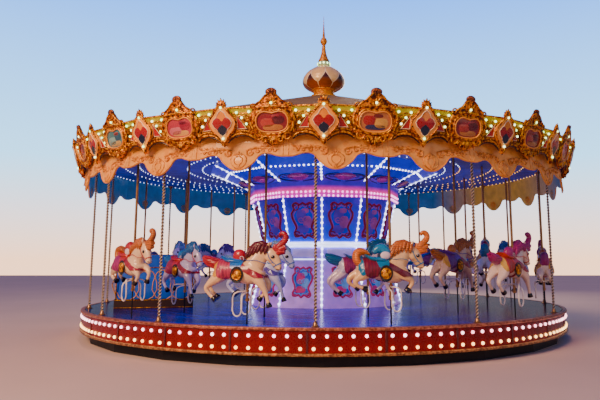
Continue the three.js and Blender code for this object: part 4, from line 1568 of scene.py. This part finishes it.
def carriage_ends():
    """The high back and the low front."""
    back = [(-698, 0, 1), (698, 0, 1), (698, 780), (400, 850), (0, 868), (-400, 850), (-698, 780)]
    low = [(-698, 0, 1), (698, 0, 1), (698, 560), (600, 588), (-600, 588), (-698, 560)]
    rear = panelled(back, [(x, 300, 60, 720) for x in (-350, 350)])
    front = panelled(low, [(x, 145, 40, 545) for x in (-510, -170, 170, 510)])
    rear.data.transform(shift(-680, 0, CARRIAGE_FLOOR) @ Matrix.Rotation(-math.pi / 2, 4, "Z"))
    front.data.transform(shift(680, 0, CARRIAGE_FLOOR) @ Matrix.Rotation(math.pi / 2, 4, "Z"))
    return [rear, front]


def carriage():
    place = facing(FIRST_POLE + 9.5 * BAY, 3600, DECK)
    walls = joined(carriage_sides() + carriage_ends())
    walls.data.transform(place)
    finish(walls, "carriage_shell", "turntable", ["carriage_body"])

    box = board([(-235, 0, 1), (235, 0, 1), (235, 215, 1), (-235, 215, 1)], 1310, 8)
    box.data.transform(place @ shift(-432, 655, CARRIAGE_FLOOR))
    finish(coat(box, plain("seat_box", "7a1420", gloss=0.3)), "carriage_seat_box", "turntable")
    pad = cushion(470, 1320, 120, (-0.33, 0.33))
    coat(pad, plain("seat_red", "b01c2c", scale=12, rough=(0.45, 0.6), depth=0.2))
    pad.data.transform(place @ shift(-432, 0, CARRIAGE_FLOOR + 216))
    finish(pad, "carriage_cushion", "turntable", ["carriage_seat"])

    corners = [(-746, -746), (746, -746), (746, 746), (-746, 746)]
    loops = [[(x, y, z, 12) for x, y in corners] for z in (20, 164)]
    trim = coat(joined([strand(loop, 4, 1, closed=True, smoothed=False) for loop in loops]), LEAF)
    trim.data.transform(place)
    finish(trim, "carriage_base_trim", "turntable")


def plain_nodes():
    black = plain("frame_black", "1a181c", 0.4, scale=8, rough=(0.45, 0.65), depth=0.3)
    for node in ("plinth", "ground_frame", "turntable_frame"):
        refinish(node, black)
    refinish("deck", deck_planks())
    refinish("carriage_floor", plain("carriage_wood", "3a2018", scale=7, rough=(0.4, 0.6), depth=0.3))


# Camera, floor, sky and lights


def placed(name, data, spot=(0, 0, 0), turn=(0, 0, 0)):
    holder = bpy.data.objects.new(name, data)
    holder.location = spot
    holder.rotation_euler = turn
    bpy.context.collection.objects.link(holder)
    return holder


def camera_and_floor():
    camera = bpy.data.cameras.new("camera")
    camera.lens = 35.78
    camera.sensor_width = 36
    camera.shift_x = -0.0396
    camera.shift_y = -0.0515
    camera.clip_end = 200
    looking_up = math.radians(8.63)
    holder = placed("camera", camera, (0, -13.512, 1.4935), (math.pi / 2 + looking_up, 0, 0))
    bpy.context.scene.camera = holder

    bpy.ops.mesh.primitive_plane_add(size=90, location=(0, 0, -0.002))
    floor = settle(bpy.context.object)
    floor.name = "floor"
    ground = Look("floor_pale", specular=0.1)
    ground.wear("dcc0b0", 0.4, (0.85, 0.95), 0.0, 0.04)
    coat(floor, ground.material)


def sky():
    """Peach at the horizon and blue above. It is seen brighter than it lights the ride, as on a
    long exposure at dusk."""
    world = bpy.data.worlds.new("world")
    bpy.context.scene.world = world
    world.use_nodes = True
    nodes, links = world.node_tree.nodes, world.node_tree.links
    direction = nodes.new("ShaderNodeSeparateXYZ")
    links.new(nodes.new("ShaderNodeTexCoord").outputs["Generated"], direction.inputs[0])
    ramp = nodes.new("ShaderNodeValToRGB")
    tones = ramp.color_ramp.elements
    tones.new(0.16)
    for tone, position, code in zip(tones, (0.0, 0.16, 0.5), ("ffc8a0", "92d4ff", "0070f4")):
        tone.position = position
        tone.color = rgb(code)
    links.new(direction.outputs["Z"], ramp.inputs["Fac"])
    strength = nodes.new("ShaderNodeMapRange")
    strength.inputs["To Min"].default_value = 0.4
    strength.inputs["To Max"].default_value = 2.9
    links.new(nodes.new("ShaderNodeLightPath").outputs["Is Camera Ray"], strength.inputs["Value"])
    background = nodes["Background"]
    links.new(ramp.outputs["Color"], background.inputs["Color"])
    links.new(strength.outputs[0], background.inputs["Strength"])


def lights():
    for name, energy, size, spot, code in (
        ("key", 1900, 5, (-9, -14, 9), "ffd0a0"),
        ("fill", 120, 7, (10, -12, 6), "ffdfd0"),
        ("back", 900, 8, (4, 14, 10), "ffe8d0"),
    ):
        light = bpy.data.lights.new(name, "AREA")
        light.energy, light.size, light.color = energy, size, rgb(code)[:3]
        aim = Vector((0, 0, 2)) - Vector(spot)
        placed(name, light, spot, aim.to_track_quat("-Z", "Y").to_euler())
    dusk = bpy.data.lights.new("dusk", "SUN")
    dusk.energy, dusk.angle, dusk.color = 1.2, 0.4, rgb("ffc8a0")[:3]
    placed("dusk", dusk, turn=(math.radians(48), 0, math.radians(-38)))


plain_nodes()
ceiling()
drum()
crown()
valance()
skirt()
skirt_lights()
rim_poles()
roof_and_spire()
horses()
carriage()
camera_and_floor()
sky()
lights()
